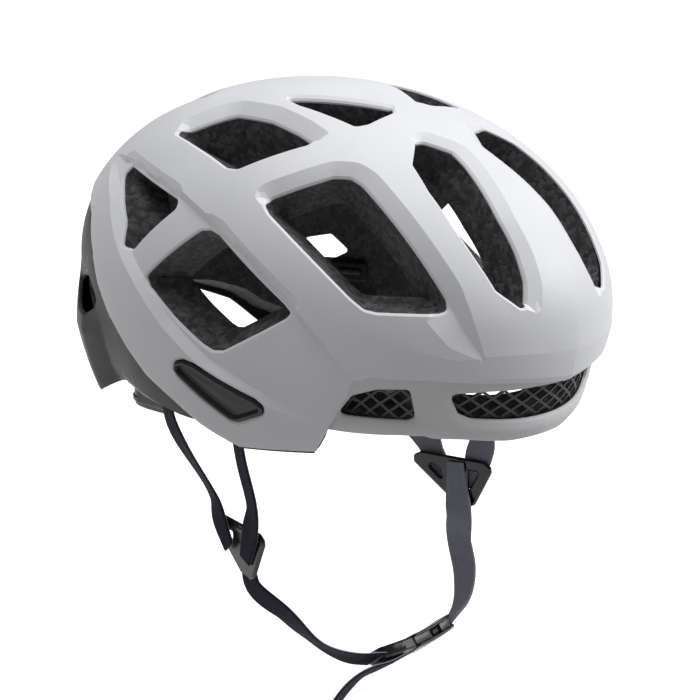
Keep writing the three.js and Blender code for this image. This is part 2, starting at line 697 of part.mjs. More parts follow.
const FRONT_RIGHT = [[-69, -3, 15], [-67.5, -4, 5], [-68.5, -7, -8], [-69.5, -11, -20]];
const REAR_RIGHT = [[-59, 51, 25], [-58, 51, 16], [-60, 50, 0], [-61.5, 46, -14]];
strapSet("right", DIVIDERS.right, FRONT_RIGHT, REAR_RIGHT);
strapSet("left", DIVIDERS.left, FRONT_RIGHT.map(mirrorPoint), REAR_RIGHT.map(mirrorPoint));

// Plastic plates that hold the upper ends of the straps against the foam.
function strapAnchor(azimuth, high, low) {
  return layerBody([-6, 0, 6].map((step) => column(
    azimuth + step,
    rowsBetween(polarAtHeight(azimuth + step, high), polarAtHeight(azimuth + step, low), 1),
    (d) => innerRadius(d) - PAD_GAP,
    (d) => innerRadius(d) - PAD_GAP - 2.2,
  )), false);
}
const frontAnchor = strapAnchor(87.5, 20, 6);
const rearAnchor = strapAnchor(131, 34, 21);
add("strap_anchor_front_right", frontAnchor, DARK, 0.5);
add("strap_anchor_front_left", mirrored(frontAnchor), DARK, 0.5);
add("strap_anchor_rear_right", rearAnchor, DARK, 0.5);
add("strap_anchor_rear_left", mirrored(rearAnchor), DARK, 0.5);

// ---------------------------------------------------------------- chin buckle
// Drawn lying flat along X, the plug at -X, then tilted and turned into its place.
const BUCKLE = {
  centre: [18, -31, -125.5], rise: 5, roll: 35, // degrees
  width: 20, thick: 6.6,
};
const buckleFrame = new THREE.Matrix4()
  .makeTranslation(...BUCKLE.centre)
  .multiply(new THREE.Matrix4().makeRotationY(rad(-BUCKLE.rise)))
  .multiply(new THREE.Matrix4().makeRotationX(rad(-BUCKLE.roll)));
const inBuckle = (x, y, z) => new THREE.Vector3(x, y, z).applyMatrix4(buckleFrame).toArray();
const buckleWay = (x, y, z) => new THREE.Vector3(x, y, z).transformDirection(buckleFrame).toArray();
const placed = (geometry) => facingOut(
  mergeVertices(withoutExtras(geometry.clone()), 1e-4).applyMatrix4(buckleFrame));

const halfBuckle = BUCKLE.width / 2;
const socketOutline = [
  [-2, -halfBuckle], [20, -halfBuckle], [25, -7], [26, -5], [26, 5], [25, 7], [20, halfBuckle],
  [-2, halfBuckle],
];
const CAVITY = { end: 20.5, height: 3.4 };
const socketBlock = plate(socketOutline, BUCKLE.thick).translate(0, 0, -BUCKLE.thick / 2);
const cavity = slab(CAVITY.end + 10, BUCKLE.width - 4, CAVITY.height, (CAVITY.end - 10) / 2, 0, 0);
const sideGaps = slab(CAVITY.end + 10, BUCKLE.width + 4, CAVITY.height, (CAVITY.end - 10) / 2 - 3, 0, 0);
add("buckle_socket", placed(cut(socketBlock, cavity, sideGaps)), BLACK, 0.45);

const plugOutline = [
  [-2.4, -halfBuckle], [-2.4, halfBuckle], [-16, 8.6], [-21, 6.5], [-22, 4.5], [-22, -4.5],
  [-21, -6.5], [-16, -8.6],
];
const TONGUE = 2.6;
const plugBlock = plate(plugOutline, BUCKLE.thick - 1).translate(0, 0, -(BUCKLE.thick - 1) / 2);
const tongue = slab(21, 4.4, TONGUE, 7.5, 0, 0);
const prongSeats = [-1, 1].map((s) => slab(5, 3.2, 8, -3.3, s * 6.3, 0));
add("buckle_plug", placed(joined(cut(plugBlock, ...prongSeats), tongue)), BLACK, 0.45);

const prongShape = (s) => plate([
  [-5.4, s * 5.2], [-5.4, s * 7.4], [8, s * 7.2], [9.5, s * 9.4], [13, s * 9.2], [18, s * 6.6], [18, s * 5],
  [8, s * 5.2],
], TONGUE).translate(0, 0, -TONGUE / 2);
add("prong_right", placed(facingOut(mergeVertices(withoutExtras(prongShape(-1)), 1e-4))), BLACK, 0.45);
add("prong_left", placed(facingOut(mergeVertices(withoutExtras(prongShape(1)), 1e-4))), BLACK, 0.45);

// ---------------------------------------------------------------- chin straps
const INSIDE = -UNDER; // the chin straps lie on the dividers' inner faces
const buckleOut = buckleWay(0, 0, -1);

function chinStrap(divider, path, lastFace, steps) {
  const out = outwards(divider);
  const top = [
    onDivider(divider, 3, 9, INSIDE), onDivider(divider, 4, -4, INSIDE),
    onDivider(divider, 6, -18, INSIDE - 1),
  ];
  const between = new THREE.Vector3(...out).add(new THREE.Vector3(...lastFace)).toArray();
  return webbing([...top, ...path], [out, out, out, between, lastFace, lastFace], steps);
}
const plugEnd = -23.5;
const socketEnd = 27.5;
add("chin_strap_right", chinStrap(DIVIDERS.right, [
  [-58, -26, -91], [-46, -28, -104], [-33, -29.5, -114], [-18, -30.5, -122], inBuckle(plugEnd, 0, 0),
], buckleOut, 24), NAVY, 0.85);
add("chin_strap_left", chinStrap(DIVIDERS.left, [
  [68, -16, -87], [65, -23, -102], [57, -28.5, -114], inBuckle(socketEnd, 0, 0),
], buckleOut, 22), NAVY, 0.85);

// The free end comes out under the plug and hangs.
const TAIL_DROP = -(BUCKLE.thick - 1) / 2 - WEB_THICK / 2 - GAP;
add("strap_tail", webbing([
  inBuckle(-9, 0, TAIL_DROP), inBuckle(-19, 0, TAIL_DROP), [-14, -33.5, -130.5], [-23, -32, -135],
  [-29, -29, -143],
], [buckleOut, buckleOut, [-0.5, -0.6, -0.6], [-0.9, -0.4, -0.3]], 12, WEB - 1), NAVY, 0.85);

export default group;
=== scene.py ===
import math

import bmesh
import bpy
import numpy as np
from mathutils import Matrix, Vector
from mathutils.geometry import delaunay_2d_cdt
from mathutils.kdtree import KDTree

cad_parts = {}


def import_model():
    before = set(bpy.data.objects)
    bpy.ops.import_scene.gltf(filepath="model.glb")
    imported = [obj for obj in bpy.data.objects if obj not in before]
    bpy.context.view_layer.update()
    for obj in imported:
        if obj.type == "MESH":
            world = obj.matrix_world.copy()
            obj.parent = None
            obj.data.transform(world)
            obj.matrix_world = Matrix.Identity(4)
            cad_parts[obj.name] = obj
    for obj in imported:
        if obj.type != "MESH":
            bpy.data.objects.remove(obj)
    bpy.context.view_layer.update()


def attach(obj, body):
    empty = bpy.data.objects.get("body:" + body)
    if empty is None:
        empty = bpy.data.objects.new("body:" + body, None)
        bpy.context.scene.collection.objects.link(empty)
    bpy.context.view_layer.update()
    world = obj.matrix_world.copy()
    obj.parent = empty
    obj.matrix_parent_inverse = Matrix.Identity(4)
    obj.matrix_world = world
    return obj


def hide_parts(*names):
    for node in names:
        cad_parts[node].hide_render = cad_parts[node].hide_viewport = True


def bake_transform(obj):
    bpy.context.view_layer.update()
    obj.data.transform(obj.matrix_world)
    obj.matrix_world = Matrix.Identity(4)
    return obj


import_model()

# A road cycling helmet. Sizes below are in millimetres in the frame of the CAD part: +Z up, the
# front towards -Y, the wearer's right towards -X. mesh_object() turns them into metres.
MM = 0.001
Z = np.array([0.0, 0.0, 1.0])

# ---------------------------------------------------------------- the dome that every shell follows
CENTRE = np.array([0.0, 0.0, 56.0])
HALF_WIDTH = 100
HALF_LENGTH = 141
CROWN_RISE = 87
LOWER_DROP = 135
NOSE_RISE = 5
NOSE_SPREAD = 24  # degrees
NOSE = np.array([0, -1, -0.15]) / math.hypot(1, 0.15)

SHELL = 1.4
GAP = 0.3
LINER = 24
BROW_RECESS = 6
BROW_WALL = 1.6
NET_WALL = 0.8
NET_GAP = 0.8
REAR_RECESS = 2
REAR_WALL = 1.6
REAR_GAP = 1.2
POD_DEPTH = 3.6
PAD = 6
LOWER_START = 0.5
BROW_END = 46
REAR_START = 88

# Heights of lower edges, as [azimuth, height]: azimuth 0 is the front and 180 the back.
SHELL_EDGE = [
    (0, 30), (10, 32), (26, 34), (35, 34), (39.5, 33), (49, -2), (60, -4), (72, -6), (85, 1),
    (95, 10), (105, 18), (113, 29), (121, 42), (126, 53), (130, 66), (138, 80), (150, 86),
    (165, 84), (180, 78),
]
RIM_EDGE = [
    (0, 0), (7, 0), (17, 3), (24, 4), (35, 5), (46.5, 7), (49, -2), (60, -4), (72, -6), (85, 1),
    (95, 0), (113, 2), (124, 6), (132, 2), (142, -4), (151, -6), (156, 3), (161, 13), (169, 20),
    (180, 23),
]
LINER_EDGE = [
    (0, 1.5), (17, 4.5), (35, 6.5), (46, 8.5), (49, 0), (60, -2), (72, -4), (85, 3), (113, 5),
    (124, 8), (142, 4), (151, 4), (156, 8), (161, 16), (169, 22), (180, 25),
]

# Openings on the wearer's right; the left side mirrors them.
VENTS = {
    "front": [
        (-22, -73, 128), (-17, -74, 129), (-10, -86, 125), (-11, -94, 120), (-14, -107, 112),
        (-17, -119, 101), (-18, -131, 87), (-20, -138, 76), (-23, -140, 67), (-26, -139, 66),
        (-34, -132, 74), (-37, -122, 88), (-38, -112, 98), (-37, -96, 112), (-33, -82, 121),
    ],
    "top": [
        (-30, 2, 139), (-19, -25, 140), (-9, -46, 138), (-12, -50, 137), (-28, -50, 134),
        (-33, -47, 133), (-33, -30, 135), (-33, -11, 138),
    ],
    "upper_rear": [
        (-58, 45, 121), (-46, 25, 132), (-44, 20, 133), (-45, -4, 134), (-48, -26, 131),
        (-50, -38, 128), (-53, -38, 127), (-73, -14, 115), (-74, -8, 115), (-71, 6, 118),
    ],
    "side_rear": [
        (-66, 70, 105), (-86, 15, 100), (-88, 14, 96), (-94, 37, 74), (-92, 43, 74),
        (-87, 51, 85), (-78, 63, 94), (-68, 73, 100),
    ],
    "lower_side": [
        (-98, 25, 64), (-92, -7, 90), (-91, -13, 91), (-90, -19, 89), (-89, -59, 65),
        (-89, -64, 61), (-90, -61, 58), (-97, -27, 38), (-98, -21, 37), (-98, -15, 39),
        (-100, 2, 48), (-99, 21, 60),
    ],
    "upper_side": [
        (-77, -38, 107), (-58, -59, 117), (-54, -66, 117), (-53, -72, 114), (-50, -120, 70),
        (-51, -122, 66), (-54, -120, 65), (-71, -98, 65), (-74, -94, 66), (-76, -88, 70),
        (-80, -42, 100), (-80, -38, 104),
    ],
    "back_top": [
        (-10, 66, 134), (-26, 60, 133), (-33, 88, 119), (-30, 98, 112), (-11, 108, 112),
    ],
    "back_low": [
        (-9, 130, 70), (-32, 121, 72), (-42, 112, 60), (-34, 119, 46), (-9, 130, 44),
    ],
    "corner": [
        (-70, 101, 47), (-80, 85, 51), (-85, 72, 40), (-80, 82, 34), (-73, 94, 34),
    ],
}
# How wide the bevel along each opening's upper edge is, and how the foam funnels in below it.
BEVEL = {
    "front": 6, "top": 3, "upper_rear": 8, "side_rear": 7, "lower_side": 7, "upper_side": 7.5,
    "back_top": 5, "back_low": 3, "corner": 3,
}
FUNNEL = {
    "front": 3, "top": 2, "upper_rear": 7, "side_rear": 5, "lower_side": 4, "upper_side": 4.5,
    "back_top": 4, "back_low": 4, "corner": 1,
}
# The way that an opening's bevelled edge lies from its middle, where that isn't upwards.
LEAN = {"front": (1, 0, 0.6)}
BROW_CENTRE = [
    (-48, -122, 27), (-33, -130, 28), (-12, -138, 28), (12, -138, 28), (33, -130, 28),
    (48, -122, 27), (43, -123, 17), (38, -126, 14), (5, -137, 11), (-5, -137, 11),
    (-38, -126, 14), (-43, -123, 17),
]
BROW_SIDE = [
    (-61, -112, 28), (-70, -99, 28), (-75, -88, 25), (-77, -80, 15), (-58, -108, 12),
    (-56, -110, 14),
]
POD = [
    (-98, 3, 26), (-98, 1, 30), (-98, -5, 32), (-98, -12, 31), (-91, -44, 20), (-90, -48, 17),
    (-89, -47, 13), (-90, -32, 7), (-91, -28, 7), (-95, -13, 15), (-97, 0, 23),
]


def unit(vectors):
    return vectors / np.linalg.norm(vectors, axis=-1, keepdims=True)


def smooth_step(low, high, value):
    share = np.clip((value - low) / (high - low), 0, 1)
    return share * share * (3 - 2 * share)


def mirror(points):
    return [(-x, y, z) for x, y, z in points]


def dome_radius(dirs):
    down = np.where(dirs[:, 2] > 0, CROWN_RISE, LOWER_DROP)
    shape = np.column_stack([dirs[:, 0] / HALF_WIDTH, dirs[:, 1] / HALF_LENGTH, dirs[:, 2] / down])
    away = np.degrees(np.arccos(np.clip(dirs @ NOSE, -1, 1))) / NOSE_SPREAD
    return 1 / np.linalg.norm(shape, axis=1) + NOSE_RISE * np.exp(-away * away)


def on_dome(dirs, lift=0.0):
    return CENTRE + dirs * (dome_radius(dirs) + lift)[:, None]


# The chart lays the dome out flat: distance from the middle is the angle from straight up, in
# degrees, and the way out is the compass direction.
def to_chart(points):
    d = unit(np.atleast_2d(np.asarray(points, float)) - CENTRE)
    across = np.maximum(np.hypot(d[:, 0], d[:, 1]), 1e-9)
    return d[:, :2] * (np.degrees(np.arccos(np.clip(d[:, 2], -1, 1))) / across)[:, None]


def from_chart(chart):
    polar = np.hypot(chart[:, 0], chart[:, 1])
    scale = np.sin(np.radians(polar)) / np.maximum(polar, 1e-9)
    return np.column_stack([chart * scale[:, None], np.cos(np.radians(polar))])


def raised(chart, lift=0.0):
    """The points over these places of the chart, this far above the dome."""
    return on_dome(from_chart(chart), lift)


def chart_at(azimuth, polar):
    turn = np.radians(azimuth)
    return np.column_stack([-np.sin(turn) * polar, -np.cos(turn) * polar])


def azimuth_of(dirs):
    return np.degrees(np.arctan2(np.abs(dirs[:, 0]), -dirs[:, 1]))


def height_on(edge, azimuth):
    knots = np.array(edge, float)
    folded = np.abs((np.asarray(azimuth) + 180) % 360 - 180)
    return np.interp(folded, knots[:, 0], knots[:, 1])


def polar_at_height(azimuth, height):
    azimuth = np.atleast_1d(np.asarray(azimuth, float))
    above = np.full(len(azimuth), 5.0)
    below = np.full(len(azimuth), 150.0)
    for _ in range(30):
        middle = (above + below) / 2
        high = raised(chart_at(azimuth, middle))[:, 2] > height
        above = np.where(high, middle, above)
        below = np.where(high, below, middle)
    return (above + below) / 2


def polar_on(edge, azimuth, rise=0.0):
    """How far from straight up a lower edge lies, or the line that runs rise above it."""
    return polar_at_height(azimuth, height_on(edge, azimuth) + rise)


def edge_chart(edge, azimuth, drop=0.0):
    """The chart points of a lower edge, drop degrees further down."""
    return chart_at(azimuth, polar_on(edge, azimuth) + drop)


# ---------------------------------------------------------------- outlines
LEAST_STEP = 0.15  # points of an outline closer together than this are merged


def rounded(outline, radius, step, closed=True):
    """The outline with each corner turned into a curve, and a point at least every step."""
    corners = np.array(outline, float)
    count = len(corners)
    points = []
    for i, here in enumerate(corners):
        if not closed and i in (0, count - 1):
            points.append(here)
            continue
        back = corners[i - 1] - here
        ahead = corners[(i + 1) % count] - here
        back_length, ahead_length = np.linalg.norm(back), np.linalg.norm(ahead)
        bend = math.pi - math.acos(np.clip(back @ ahead / back_length / ahead_length, -1, 1))
        reach = min(radius * math.tan(bend / 2), 0.45 * back_length, 0.45 * ahead_length)
        start, end = here + back / back_length * reach, here + ahead / ahead_length * reach
        parts = max(1, math.ceil(math.degrees(bend) / 20))
        for k in range(parts + 1):
            t = k / parts
            points.append((1 - t) ** 2 * start + 2 * t * (1 - t) * here + t * t * end)
    return spaced(points, step, closed)


def spaced(points, step, closed):
    points = [np.asarray(p, float) for p in points]
    ends = points[1:] + points[:1] if closed else points[1:]
    out = []
    for a, b in zip(points, ends):
        parts = max(1, math.ceil(np.linalg.norm(b - a) / step))
        out += [a + (b - a) * k / parts for k in range(parts)]
    if not closed:
        out.append(points[-1])
    kept = [out[0]]
    for p in out[1:]:
        if np.linalg.norm(p - kept[-1]) > LEAST_STEP:
            kept.append(p)
    if closed and np.linalg.norm(kept[0] - kept[-1]) < LEAST_STEP:
        kept.pop()
    return np.array(kept)


def joined(line):
    """The loop with its first point again at the end."""
    return np.vstack([line, line[:1]])


def nearest(points, line, closed):
    """How far each point is from the line, and the place along the line of its nearest point."""
    a = line if closed else line[:-1]
    b = np.roll(line, -1, axis=0) if closed else line[1:]
    along = b - a
    length2 = np.maximum((along * along).sum(1), 1e-12)
    best = np.full(len(points), np.inf)
    place = np.zeros(len(points))
    for i in range(len(a)):
        offset = points - a[i]
        t = np.clip(offset @ along[i] / length2[i], 0, 1)
        gap = np.linalg.norm(offset - t[:, None] * along[i], axis=1)
        closer = gap < best
        best = np.where(closer, gap, best)
        place = np.where(closer, i + t, place)
    return best, place


def value_at(values, place, closed):
    low = place.astype(int)
    high = (low + 1) % len(values) if closed else np.minimum(low + 1, len(values) - 1)
    low = np.minimum(low, len(values) - 1)
    share = place - np.floor(place)
    return values[low] * (1 - share) + values[high] * share


def inside(points, polygon):
    x, y = points[:, 0], points[:, 1]
    hit = np.zeros(len(points), bool)
    for (x1, y1), (x2, y2) in zip(polygon, np.roll(polygon, -1, axis=0)):
        if y1 != y2:
            crosses = (y1 > y) != (y2 > y)
            hit ^= crosses & (x < (x2 - x1) * (y - y1) / (y2 - y1) + x1)
    return hit


def outward_normals(line):
    """In the dome's tangent plane, away from a closed loop's inside."""
    along = np.roll(line, -1, axis=0) - np.roll(line, 1, axis=0)
    radial = unit(line - CENTRE)
    side = unit(np.cross(along, radial))
    if ((line - line.mean(0)) * side).sum() < 0:
        side = -side
    return side


LEAST_BEVEL = 0.15  # share of the bevel's width and depth that is left along the lower edge
LEAST_DEPTH = 0.3
CHART_MM = 1.9  # millimetres to a degree of the chart, near enough for a share of the width


class Opening:
    """One opening in the shells: its loop on the dome and the bevel round it."""

    def __init__(self, outline, bevel, funnel, lean=(0, 0, 1), corner=3.5, everywhere=False, depth=0.5):
        dense = rounded(outline, corner, 2.6)
        self.chart = to_chart(dense)
        self.line = raised(self.chart)
        self.out = outward_normals(self.line)
        radial = unit(self.line - CENTRE)
        slope = (self.out * unit(lean - radial * (radial @ lean)[:, None])).sum(1)
        weight = np.ones(len(slope)) if everywhere else smooth_step(-0.25, 0.5, slope)
        self.bevel = bevel * (LEAST_BEVEL + (1 - LEAST_BEVEL) * weight)
        self.depth = depth * self.bevel * (LEAST_DEPTH + (1 - LEAST_DEPTH) * weight)
        self.funnel = funnel

    def lift(self, points):
        lift = np.zeros(len(points))
        reach = self.bevel.max()
        low, high = self.line.min(0) - reach, self.line.max(0) + reach
        close = np.all((points > low) & (points < high), axis=1)
        gap, place = nearest(points[close], self.line, True)
        width = value_at(self.bevel, place, True)
        lift[close] = -value_at(self.depth, place, True) * np.clip(1 - gap / width, 0, 1)
        return lift

    def offset(self, distance):
        return to_chart(self.line + self.out * np.asarray(distance).reshape(-1, 1))

    def drawn_in(self, most):
        """The loop drawn in by up to this much, and by less where the opening is narrow."""
        chart_out = unit(self.offset(1.0) - self.chart)
        reach = np.full(len(self.chart), 60.0)
        a, b = self.chart, np.roll(self.chart, -1, axis=0)
        edge = b - a
        for i, (start, way) in enumerate(zip(self.chart, -chart_out)):
            cross = way[0] * edge[:, 1] - way[1] * edge[:, 0]
            cross = np.where(np.abs(cross) < 1e-9, 1e-9, cross)
            to_a = a - start
            t = (to_a[:, 0] * edge[:, 1] - to_a[:, 1] * edge[:, 0]) / cross
            s = (to_a[:, 0] * way[1] - to_a[:, 1] * way[0]) / cross
            ahead = t[(t > 0.3) & (s >= 0) & (s <= 1)]
            if len(ahead):
                reach[i] = ahead.min()
        for _ in range(6):
            reach = np.minimum(reach, (np.roll(reach, 1) + np.roll(reach, -1)) / 2 + 0.4)
        for _ in range(4):
            reach = (np.roll(reach, 1) + 2 * reach + np.roll(reach, -1)) / 4
        return self.offset(-np.minimum(most, 0.3 * reach * CHART_MM))


def both_sides(name):
    lean = LEAN.get(name, (0, 0, 1))
    return [
        Opening(VENTS[name], BEVEL[name], FUNNEL[name], lean),
        Opening(mirror(VENTS[name]), BEVEL[name], FUNNEL[name], mirror([lean])[0]),
    ]


REAR_VENTS = ("back_low", "corner")  # those in the dark rear shell; the others are in the white one
white_vents = [vent for name in VENTS if name not in REAR_VENTS for vent in both_sides(name)]
rear_vents = [vent for name in REAR_VENTS for vent in both_sides(name)]
vents = white_vents + rear_vents


# ---------------------------------------------------------------- creases of the white shell
ON_LINE = 0.08  # a mesh point this close to a crease counts as on it
CREASE_APART = 0.6  # creases that run closer together than this are left out of the mesh
CREASE_END = 92  # and so is what lies further back than this


class Panel:
    """A facet between two lines, each with its own depth below the dome."""

    def __init__(self, first, second, first_depth, second_depth):
        self.ends = [raised(to_chart(rounded(line, 6, 3, False))) for line in (first, second)]
        self.depths = (first_depth, second_depth)
        self.polygon = to_chart(np.vstack([self.ends[0], self.ends[1][::-1]]))

    def lift(self, points, chart):
        gaps = [nearest(points, line, False)[0] for line in self.ends]
        within = inside(chart, self.polygon) | (np.minimum(*gaps) < ON_LINE)
        share = gaps[0] / np.maximum(gaps[0] + gaps[1], 1e-6)
        depth = self.depths[0](points) * (1 - share) + self.depths[1](points) * share
        return np.where(within, -depth, 0)

    def lines(self):
        found = []
        for line, other in (self.ends, self.ends[::-1]):
            apart = line[(nearest(line, other, False)[0] > CREASE_APART) & (line[:, 1] < CREASE_END)]
            if len(apart) > 1:
                found.append(to_chart(apart))
        return found


def beside(line, widths):
    """The line with each point moved up the dome by its width."""
    line = np.array(line, float)
    up = unit(np.cross(np.gradient(line, axis=0), line - CENTRE))
    up = np.where(up[:, 2:3] < 0, -up, up)
    return [tuple(p) for p in line + up * np.array(widths)[:, None]]


RIB = [
    (-46, 105, 103), (-70, 55, 108), (-84, 10, 103), (-88, -10, 97), (-91, -38, 85),
    (-89, -61, 69), (-82, -81, 48), (-75, -91, 33),
]
RIB_FOOT = beside(RIB, [0, -3, -3.5, -3.5, -3, -2.5, -2, -1.6])
BELT = [
    (-46, 105, 103), (-62, 84, 100), (-80, 64, 90), (-93, 43, 72), (-98, 28, 61),
    (-100, 8, 45), (-97, -18, 29), (-90, -46, 19), (-83, -64, 13), (-74, -79, 4),
]
BELT_TOP = beside(BELT, [0, 2, 4, 4, 4, 4, 4, 3.5, 3, 2])
SIDE_SINK = 3.6
SPEAR_TIP = (-40, -132, 44)
SPEAR_OUTER = [(-44, -117, 77), (-43, -126, 61), SPEAR_TIP]
SPEAR_INNER = [(-50, -119, 71), (-47, -126, 58), SPEAR_TIP]
SPEAR_RETURN = [(-59, -116, 62), (-53, -124, 51), SPEAR_TIP]
SPEAR_DEPTH = 3.6


def level(points):
    return np.zeros(len(points))


def behind(points):
    """Fades the side's facets out towards the back, where the rib and the belt meet."""
    return smooth_step(CREASE_END, CREASE_END - 22, points[:, 1])


def rib_sink(points):
    return SIDE_SINK * smooth_step(-112, -70, points[:, 1]) * behind(points)


def belt_sink(points):
    return SIDE_SINK * smooth_step(-82, -25, points[:, 1]) * behind(points)


def spear_depth(points):
    folded = np.column_stack([-np.abs(points[:, 0]), points[:, 1:]])
    gap = np.linalg.norm(folded - SPEAR_TIP, axis=1)
    return SPEAR_DEPTH * np.clip(gap / 26, 0, 1)


pod_pockets = [to_chart(rounded(flip(POD), 4, 2.5)) for flip in (list, mirror)]
panels = []
for flip in (list, mirror):
    panels += [
        Panel(flip(RIB), flip(RIB_FOOT), level, rib_sink),
        Panel(flip(RIB_FOOT), flip(BELT_TOP), rib_sink, belt_sink),
        Panel(flip(BELT), flip(BELT_TOP), level, belt_sink),
        Panel(flip(SPEAR_OUTER), flip(SPEAR_INNER), level, spear_depth),
        Panel(flip(SPEAR_INNER), flip(SPEAR_RETURN), spear_depth, level),
    ]

BRIM = 3.6  # height of the bevel along the hood's front edge
BRIM_DEPTH = 1.9
BRIM_END = 41  # azimuth where the brim's bevel has run out
SKIRT = [(0, 46), (14, 47), (22, 45), (30, 50), (38, 58), (46, 62)]  # azimuth and height
SKIRT_DEPTH = 2.4
SKIRT_END = 46
PROW = 3.2  # how far the hood's front rises to its middle crease
PROW_SPREAD = 26  # degrees to each side
PROW_TOP = 92


def shell_relief(dirs):
    """How far the white shell's outer face stands off the plain dome."""
    points = on_dome(dirs)
    chart = to_chart(points)
    lifts = [panel.lift(points, chart) for panel in panels] + [vent.lift(points) for vent in vents]
    lift = np.minimum.reduce(lifts)
    azimuth = azimuth_of(dirs)
    front = smooth_step(BRIM_END, BRIM_END - 5, azimuth)
    below = np.clip((height_on(SHELL_EDGE, azimuth) + BRIM - points[:, 2]) / BRIM, 0, 1)
    lift -= BRIM_DEPTH * below * front
    fold = height_on(SKIRT, azimuth)
    drop = np.clip((fold - points[:, 2]) / (fold - height_on(SHELL_EDGE, azimuth)), 0, 1)
    lift -= SKIRT_DEPTH * drop * smooth_step(SKIRT_END, SKIRT_END - 8, azimuth)
    prow = np.clip(1 - azimuth / PROW_SPREAD, 0, 1)
    lift += PROW * prow * smooth_step(PROW_TOP, PROW_TOP - 34, points[:, 2])
    return lift


# ---------------------------------------------------------------- meshes from the chart
def clear_of(chart_line, loops, least):
    """The line's stretches that keep this far from every boundary loop."""
    gaps = np.min([nearest(chart_line, loop, True)[0] for loop in loops], axis=0)
    pieces, run = [], []
    for point, gap in zip(chart_line, gaps):
        if gap > least:
            run.append(point)
        else:
            pieces.append(run)
            run = []
    pieces.append(run)
    return [np.array(piece) for piece in pieces if len(piece) > 1]


def within(points, outline, holes):
    keep = inside(points, outline)
    for hole in holes:
        keep &= ~inside(points, hole)
    return keep


def grid_points(outline, spacing):
    """Points of a triangular grid over the outline's box."""
    low, high = outline.min(0), outline.max(0)
    row_height = spacing * math.sqrt(3) / 2
    found = []
    for row in range(int((high[1] - low[1]) / row_height) + 1):
        xs = np.arange(low[0] + (row % 2) * spacing / 2, high[0], spacing)
        found += [(x, low[1] + row * row_height) for x in xs]
    return np.array(found)


def triangulated(outline, holes, lines, spacing):
    """A Delaunay mesh of the chart inside the outline and outside the holes, with an edge along
    every line. Returns chart points and triangles."""
    loops = [outline, *holes]
    points, edges = [], []

    def chain(line, closed):
        start = len(points)
        points.extend(Vector(p) for p in line)
        count = len(line)
        edges.extend((start + i, start + i + 1) for i in range(count - 1))
        if closed:
            edges.append((start + count - 1, start))

    for loop in loops:
        chain(loop, True)
    for line in lines:
        for piece in clear_of(line, loops, 0.35):
            chain(piece, False)
    tree = KDTree(len(points))
    for i, p in enumerate(points):
        tree.insert((p.x, p.y, 0), i)
    tree.balance()
    grid = grid_points(np.vstack(loops), spacing)
    for x, y in grid[within(grid, outline, holes)]:
        if tree.find((x, y, 0))[2] > 0.5 * spacing:
            points.append(Vector((x, y)))
    corners, _, triangles, _, _, _ = delaunay_2d_cdt(points, edges, [], 0, 1e-4)
    chart = np.array([tuple(corner) for corner in corners])
    faces = np.array([tuple(face) for face in triangles])
    return chart, faces[within(chart[faces].mean(1), outline, holes)]


def border_edges(faces):
    seen = dict.fromkeys(edge for a, b, c in faces for edge in ((a, b), (b, c), (c, a)))
    return [edge for edge in seen if (edge[1], edge[0]) not in seen]


def thick(chart, faces, outer, inner):
    """A closed body from one chart mesh, with outer and inner points for each chart point."""
    count = len(chart)
    a, b, c = chart[faces[0]]
    area = (b[0] - a[0]) * (c[1] - a[1]) - (b[1] - a[1]) * (c[0] - a[0])
    top = faces if area > 0 else faces[:, ::-1]
    walls = [(b, a, a + count, b + count) for a, b in border_edges(top)]
    points = np.vstack([outer, inner])
    return points, [*map(tuple, top), *map(tuple, top[:, ::-1] + count), *walls]


LIP = 0.9  # width of the rolled edge round a shell and its openings
LIP_DROP = 0.55


def rolled(points, outline, holes=(), width=LIP, depth=LIP_DROP):
    """How far the surface drops where it rolls over along its boundary."""
    gap = np.min([nearest(points, raised(loop), True)[0] for loop in [outline, *holes]], axis=0)
    return -depth * np.clip(1 - gap / width, 0, 1) ** 2


def outline_lines(outline, holes=()):
    """Loops just inside the boundary, which carry the rolled edge."""
    found = []
    for loop, away in [(outline, -1)] + [(hole, 1) for hole in holes]:
        line = raised(loop)
        found.append(joined(to_chart(line + outward_normals(line) * LIP * away)))
    return found


def mesh_object(name, points, faces, material, sharp=30, merge=0.0):
    mesh = bpy.data.meshes.new(name)
    mesh.from_pydata((np.asarray(points, float) * MM).tolist(), [], [tuple(map(int, f)) for f in faces])
    mesh.validate()
    obj = bpy.data.objects.new(name, mesh)
    bpy.context.scene.collection.objects.link(obj)
    work = bmesh.new()
    work.from_mesh(mesh)
    if merge:
        bmesh.ops.remove_doubles(work, verts=work.verts, dist=merge * MM)
    bmesh.ops.dissolve_degenerate(work, dist=1e-6, edges=work.edges)
    bmesh.ops.recalc_face_normals(work, faces=work.faces)
    loose = [v for v in work.verts if not v.link_faces]
    bmesh.ops.delete(work, geom=loose, context="VERTS")
    work.to_mesh(mesh)
    work.free()
    mesh.shade_smooth()
    mesh.set_sharp_from_angle(angle=math.radians(sharp))
    mesh.materials.append(material)
    return obj


def place(obj, body, slot, *nodes):
    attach(obj, body)
    if nodes:
        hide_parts(*nodes)
    return obj


def sheet(name, node, slot, look, sharp, chart, faces, outer, inner):
    """A shell from one chart mesh, given how far its two faces stand off the dome."""
    points, faces = thick(chart, faces, raised(chart, outer), raised(chart, inner))
    place(mesh_object(name, points, faces, look, sharp=sharp), "helmet", slot, node)


# ---------------------------------------------------------------- materials
def linear(red, green, blue):
    """An sRGB colour with parts out of 255, as the linear colour that a shader takes."""
    def one(value):
        value /= 255
        return value / 12.92 if value <= 0.04045 else ((value + 0.055) / 1.055) ** 2.4
    return (one(red), one(green), one(blue), 1.0)


